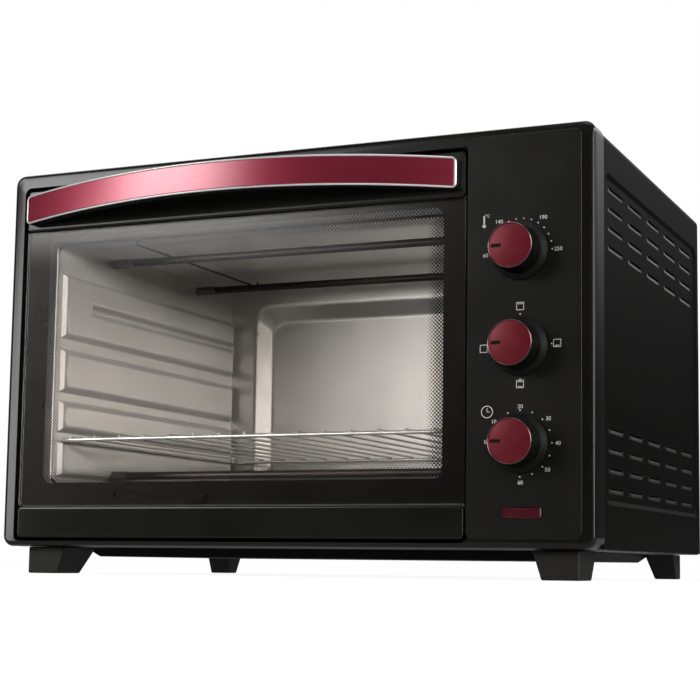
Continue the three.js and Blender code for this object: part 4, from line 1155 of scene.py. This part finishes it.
def makeRack(shape):
    low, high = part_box("wire_rack")
    rim, wire = shape["rim"] * mm, shape["wire"] * mm
    z = low.z + rim
    bpy.ops.object.select_all(action="DESELECT")
    bpy.ops.mesh.primitive_plane_add(size=1, location=((low.x + high.x) / 2, (low.y + high.y) / 2, z))
    loop = bpy.context.active_object
    loop.scale = (high.x - low.x - 2 * rim, high.y - low.y - 2 * rim, 1)
    applyPlace(loop)
    bpy.ops.object.mode_set(mode="EDIT")
    bpy.ops.mesh.select_all(action="SELECT")
    bpy.ops.mesh.bevel(offset=shape["corner"] * mm, segments=8, affect="VERTICES")
    leaveEdit()
    parts = [sweepOutline(loop, rim)]
    wireZ = z + rim + wire - shape["sunk"] * mm
    firstX = (low.x + high.x) / 2 - (shape["count"] - 1) / 2 * shape["pitch"] * mm
    front, back = low.y + shape["weld"] * mm, high.y - shape["weld"] * mm
    strand = [addBar((firstX, front, wireZ), (firstX, back, wireZ), wire, 12)]
    for y in (front, back):
        bpy.ops.mesh.primitive_uv_sphere_add(segments=16, ring_count=8, radius=wire,
                                             location=(firstX, y, wireZ))
        bump = bpy.context.active_object
        bump.scale.x = shape["weld"] / shape["wire"]
        bump.scale.y = shape["weld"] / shape["wire"]
        applyPlace(bump)
        strand.append(bump)
    strand = joinAll(strand)
    repeatPiece(strand, shape["count"], (shape["pitch"], 0, 0))
    rack = joinAll(parts + [strand])
    smooth(rack, 60)
    finishPiece(rack, "wire_rack_finished", chromedWire, "rack", "chromed_wire", "wire_rack")


makeRack(rackShape)
refine("crumb_tray", galvanised)
print("cavity made")


# Cover: side louvres are slots with a scoop pressed inwards behind each one

scoopShape = {
    "face": 257.6, "behind": 0.1, "firstY": 45.6, "firstZ": 65.8,
    "length": 45, "height": 4, "depth": 2.6, "sheet": 0.6, "overlap": 0.3, "along": 26, "up": 8,
    "crowd": 1.8, "frontRun": 8, "rearRun": 3.5, "shallow": 0.4, "steepFrom": 0.5,
    "repeats": ((5, (0, 61.85, 0)), (4, (0, 0, 15.2)), (2, (0, 0, 186.3))),
}


def makeScoops(shape):
    length, height = shape["length"], shape["height"]
    bpy.ops.object.select_all(action="DESELECT")
    middle = at(shape["face"] - shape["behind"], shape["firstY"] + length / 2, shape["firstZ"] + height / 2)
    bpy.ops.mesh.primitive_grid_add(x_subdivisions=shape["along"], y_subdivisions=shape["up"], size=1,
                                    location=middle, rotation=(math.radians(90), 0, math.radians(90)))
    scoops = bpy.context.active_object
    scoops.scale = (length * mm, height * mm, 1)
    applyPlace(scoops)
    corner = at(0, shape["firstY"], shape["firstZ"])
    for point in scoops.data.vertices:
        across = min(max((point.co.y - corner.y) / (length * mm), 0), 1)
        rise = min(max((point.co.z - corner.z) / (height * mm), 0), 1)
        point.co.z += (rise * 2 - 1) * shape["overlap"] * mm
        across = 1 - (1 - across) ** shape["crowd"]
        point.co.y = corner.y + (across * length + (across * 2 - 1) * shape["overlap"]) * mm
        fromFront = min(across * length / shape["frontRun"], 1)
        fromRear = min((1 - across) * length / shape["rearRun"], 1)
        ends = math.sqrt(1 - (1 - fromRear) ** 2) * (1 - math.cos(math.pi / 2 * fromFront))
        steep = max(rise - shape["steepFrom"], 0) / (1 - shape["steepFrom"])
        inward = shape["depth"] * (shape["shallow"] * rise + (1 - shape["shallow"]) * steep ** 2)
        point.co.x -= inward * ends * mm
    wall = scoops.modifiers.new("sheet", "SOLIDIFY")
    wall.thickness = shape["sheet"] * mm
    wall.offset = -1
    bpy.ops.object.modifier_apply(modifier=wall.name)
    for count, step in shape["repeats"]:
        repeatPiece(scoops, count, step)
    other = scoops.modifiers.new("other_side", "MIRROR")
    other.use_mirror_merge = False
    bpy.ops.object.modifier_apply(modifier=other.name)
    smooth(scoops, 60)
    finishPiece(scoops, "louvre_scoops", louvreCoat, "housing", "black_enamelled_steel")


makeScoops(scoopShape)
print("louvres made")


# Studio: a pale floor, a white surround for the camera, and softboxes round the object

studioLook = {
    "ambient": 0.24,         # what matt surfaces get from all round
    "frontGlow": 0.07, "backGlow": 0.85, "turnFrom": 0.1, "turnTo": 0.9,   # what gloss sees, front to back
    "glowLow": 0.1, "glowHigh": 0.45, "glowTop": 0.7,   # slopes between which that glow rises and falls
    "underfoot": 0.04, "overhead": 0.25,   # what is left of it at the floor and overhead
    # Strips that only gloss sees: degrees to the right of the front, degrees up, brightness
    "strips": {
        "left_side": {"across": (-60, -50, -44, -38), "up": (-3, 1, 9, 13), "glow": 3.8},
        "handle": {"across": (-54, -41, -36, -20), "up": (10, 13, 16, 21), "glow": 5.5},
        "top_border": {"across": (-56, -42, -38, -25), "up": (16, 21, 28, 38), "glow": 4.8},
        "over_right": {"across": (-26, -15, 25, 45), "up": (38, 48, 75, 88), "glow": 1.2},
        "camera_side": {"across": (24, 29, 50, 58), "up": (-4, 2, 14, 26), "glow": 4.2},
        "right_rim": {"across": (58, 72, 95, 110), "up": (-2, 6, 30, 50), "glow": 6.5},
        "left_rim": {"across": (-145, -125, -110, -92), "up": (-2, 6, 30, 50), "glow": 1.0},
    },
    "floorSize": 12, "floorTone": 0.5, "floorGlow": 0.93, "floorShade": 0.14,
    "floorGloss": 0.2,        # how bright the floor is in a gloss
}


# What the camera sees straight or only through glass, and what a gloss reflects, also through glass
def seenStraight(tree, path):
    glossy = addNode(tree, "ShaderNodeMath", {"operation": "GREATER_THAN"},
                     {0: path.outputs["Glossy Depth"], 1: 0.5})
    bounced = addNode(tree, "ShaderNodeMath", {"operation": "ADD"},
                      {0: path.outputs["Diffuse Depth"], 1: path.outputs["Glossy Depth"]})
    straight = addNode(tree, "ShaderNodeMath", {"operation": "LESS_THAN"}, {0: bounced.outputs[0], 1: 0.5})
    through = addNode(tree, "ShaderNodeMath", {"operation": "MAXIMUM"},
                      {0: path.outputs["Is Camera Ray"], 1: path.outputs["Is Transmission Ray"]})
    seen = addNode(tree, "ShaderNodeMath", {"operation": "MULTIPLY"},
                   {0: straight.outputs[0], 1: through.outputs[0]})
    return seen, glossy


def makeSurround(look):
    world = bpy.data.worlds.new("studio")
    bpy.context.scene.world = world
    world.use_nodes = True
    tree = world.node_tree
    way = addNode(tree, "ShaderNodeTexCoord").outputs["Generated"]
    parts = addNode(tree, "ShaderNodeSeparateXYZ", None, {0: way})
    rise = addNode(tree, "ShaderNodeMapRange", {"interpolation_type": "SMOOTHSTEP"}, {
        0: parts.outputs[2], 1: look["glowLow"], 2: look["glowHigh"], 3: look["underfoot"], 4: 1.0})
    top = addNode(tree, "ShaderNodeMapRange", {"interpolation_type": "SMOOTHSTEP"}, {
        0: parts.outputs[2], 1: look["glowHigh"], 2: look["glowTop"], 3: 1.0, 4: look["overhead"]})
    rise = addNode(tree, "ShaderNodeMath", {"operation": "MULTIPLY"}, {0: rise.outputs[0], 1: top.outputs[0]})
    turn = addNode(tree, "ShaderNodeMapRange", {"interpolation_type": "SMOOTHSTEP"}, {
        0: parts.outputs[1], 1: look["turnFrom"], 2: look["turnTo"], 3: look["frontGlow"],
        4: look["backGlow"]})
    glow = addNode(tree, "ShaderNodeMath", {"operation": "MULTIPLY"},
                   {0: rise.outputs[0], 1: turn.outputs[0]})
    ahead = addNode(tree, "ShaderNodeMath", {"operation": "MULTIPLY"}, {0: parts.outputs[1], 1: -1.0})
    azimuth = addNode(tree, "ShaderNodeMath", {"operation": "ARCTAN2"},
                      {0: parts.outputs[0], 1: ahead.outputs[0]})
    elevation = addNode(tree, "ShaderNodeMath", {"operation": "ARCSINE"}, {0: parts.outputs[2]})
    shine = glow
    for strip in look["strips"].values():
        reach = None
        for angle, (start, full, fade, end) in ((azimuth, strip["across"]), (elevation, strip["up"])):
            for low, high, first, last in ((start, full, 0.0, 1.0), (fade, end, 1.0, 0.0)):
                ramp = addNode(tree, "ShaderNodeMapRange", {"interpolation_type": "SMOOTHSTEP"}, {
                    0: angle.outputs[0], 1: math.radians(low), 2: math.radians(high), 3: first, 4: last})
                reach = ramp if reach is None else addNode(
                    tree, "ShaderNodeMath", {"operation": "MULTIPLY"},
                    {0: reach.outputs[0], 1: ramp.outputs[0]})
        shine = addNode(tree, "ShaderNodeMath", {"operation": "MULTIPLY_ADD"},
                        {0: reach.outputs[0], 1: strip["glow"], 2: shine.outputs[0]})
    path = addNode(tree, "ShaderNodeLightPath")
    seen, glossy = seenStraight(tree, path)
    gloss = addNode(tree, "ShaderNodeMix", {"data_type": "FLOAT"},
                    {0: glossy.outputs[0], 2: look["ambient"], 3: shine.outputs[0]})
    level = addNode(tree, "ShaderNodeMix", {"data_type": "FLOAT"},
                    {0: seen.outputs[0], 2: gloss.outputs[0], 3: 1.0})
    background = tree.nodes["Background"]
    background.inputs["Color"].default_value = (1, 1, 1, 1)
    tree.links.new(level.outputs[0], background.inputs["Strength"])


def makeFloor(look):
    bpy.ops.object.select_all(action="DESELECT")
    bpy.ops.mesh.primitive_plane_add(size=look["floorSize"], location=(0, 0, 0))
    floor = bpy.context.active_object
    floor.name = "studio_floor"
    material, tree, shader = newMaterial("studio_paper", {})
    path = addNode(tree, "ShaderNodeLightPath")
    seen, glossy = seenStraight(tree, path)
    plain = addNode(tree, "ShaderNodeBsdfDiffuse", None, {"Color": [look["floorTone"]] * 3 + [1]})
    thin = addNode(tree, "ShaderNodeBsdfDiffuse", None, {"Color": [look["floorShade"]] * 3 + [1]})
    glow = addNode(tree, "ShaderNodeEmission", None, {"Color": (1, 1, 1, 1), "Strength": look["floorGlow"]})
    bright = addNode(tree, "ShaderNodeAddShader", None, {0: thin.outputs[0], 1: glow.outputs[0]})
    mirrored = addNode(tree, "ShaderNodeEmission", None,
                       {"Color": (1, 1, 1, 1), "Strength": look["floorGloss"]})
    hidden = addNode(tree, "ShaderNodeMixShader", None,
                     {0: glossy.outputs[0], 1: plain.outputs[0], 2: mirrored.outputs[0]})
    both = addNode(tree, "ShaderNodeMixShader", None,
                   {0: seen.outputs[0], 1: hidden.outputs[0], 2: bright.outputs[0]})
    tree.nodes.remove(shader)
    tree.links.new(both.outputs[0], tree.nodes["Material Output"].inputs["Surface"])
    floor.data.materials.append(material)


# Groups of pieces for the lamps that light only some; each piece whose name starts so is in the group
wallPieces = ("cavity_shell", "doorway_", "upper_", "lower_", "heater_", "wire_rack", "crumb_tray")
litPieces = {
    "cavity_walls": wallPieces,
    "cavity_and_door": wallPieces + ("door_inner_frame",),
    "cavity_end": ("cavity_back", "wire_rack"),
    "rack": ("wire_rack",),
    "louvres": ("louvre_scoops",),
}
for groupName, starts in litPieces.items():
    group = bpy.data.collections.new(groupName)
    for piece in list(bpy.data.objects):
        if piece.name.startswith(starts):
            group.objects.link(piece)

# Each softbox: place, what it points at, width and height, watts, whether gloss shows it, its group
softboxes = {
    "front_left": {"place": (-0.75, -1.6, 0.5), "aim": (-0.02, 0.0, 0.16), "size": (0.5, 0.4),
                   "power": 12.0, "gloss": False},
    "front_right": {"place": (0.7, -1.5, 0.48), "aim": (-0.12, 0.0, 0.15), "size": (0.5, 0.4),
                    "power": 10.0, "gloss": False},
    "cavity_left": {"place": (-0.6, -1.5, 0.16), "aim": (0.02, 0.0, 0.12), "size": (0.6, 0.25),
                    "power": 8.5, "gloss": True, "only": "cavity_end"},
    "pad_ends": {"place": (0.6, -1.45, 0.3), "aim": (-0.12, 0.0, 0.15), "size": (0.3, 0.3),
                 "power": 0.9, "gloss": True, "only": "cavity_walls"},
    "cavity_low": {"place": (-1.1, -1.5, 0.12), "aim": (0.0, 0.0, 0.12), "size": (0.5, 0.2),
                   "power": 5.5, "gloss": True, "only": "cavity_end"},
    "cavity_far": {"place": (-1.05, -1.35, 0.36), "aim": (0.0, 0.0, 0.15), "size": (0.45, 0.35),
                   "power": 75.0, "gloss": True, "only": "cavity_walls"},
    "rack_front": {"place": (-0.75, -1.5, 0.32), "aim": (-0.05, 0.0, 0.11), "size": (1.0, 0.3),
                   "power": 45.0, "gloss": True, "only": "rack"},
    "cavity_right": {"place": (0.98, -1.4, 0.46), "aim": (-0.12, 0.0, 0.15), "size": (0.4, 0.3),
                     "power": 84.0, "gloss": False, "only": "cavity_and_door"},
    "louvre_side": {"place": (1.9, -0.6, 0.5), "aim": (0.26, 0.1, 0.2), "size": (0.3, 0.3),
                    "power": 60.0, "gloss": True, "only": "louvres"},
    "louvre_rear": {"place": (0.44, 1.6, 0.62), "aim": (0.26, 0.1, 0.2), "size": (0.3, 0.3),
                    "power": 0.2, "gloss": True, "only": "louvres"},
    "side_right": {"place": (1.9, 0.4, 1.3), "aim": (0.2, 0.0, 0.3), "size": (0.6, 0.6),
                   "power": 4.0, "gloss": True},
    "rear": {"place": (-1.2, 2.4, 1.4), "aim": (0.0, 0.2, 0.2), "size": (1.0, 0.8),
             "power": 25.0, "gloss": True},
    "top": {"place": (0.0, 0.1, 1.9), "aim": (0.0, 0.0, 0.3), "size": (1.2, 1.0),
            "power": 7.0, "gloss": True},
}


def makeSoftboxes(boxes):
    for name, box in boxes.items():
        data = bpy.data.lights.new(name, "AREA")
        data.shape = "RECTANGLE"
        data.size, data.size_y = box["size"]
        data.energy = box["power"]
        lamp = bpy.data.objects.new(name, data)
        bpy.context.scene.collection.objects.link(lamp)
        lamp.visible_glossy = box["gloss"]
        lamp.visible_transmission = False
        if box.get("only"):
            lamp.light_linking.receiver_collection = bpy.data.collections[box["only"]]
        lamp.location = box["place"]
        way = Vector(box["aim"]) - Vector(box["place"])
        lamp.rotation_euler = way.to_track_quat("-Z", "Y").to_euler()


makeSurround(studioLook)
makeFloor(studioLook)
makeSoftboxes(softboxes)
print("studio lit")
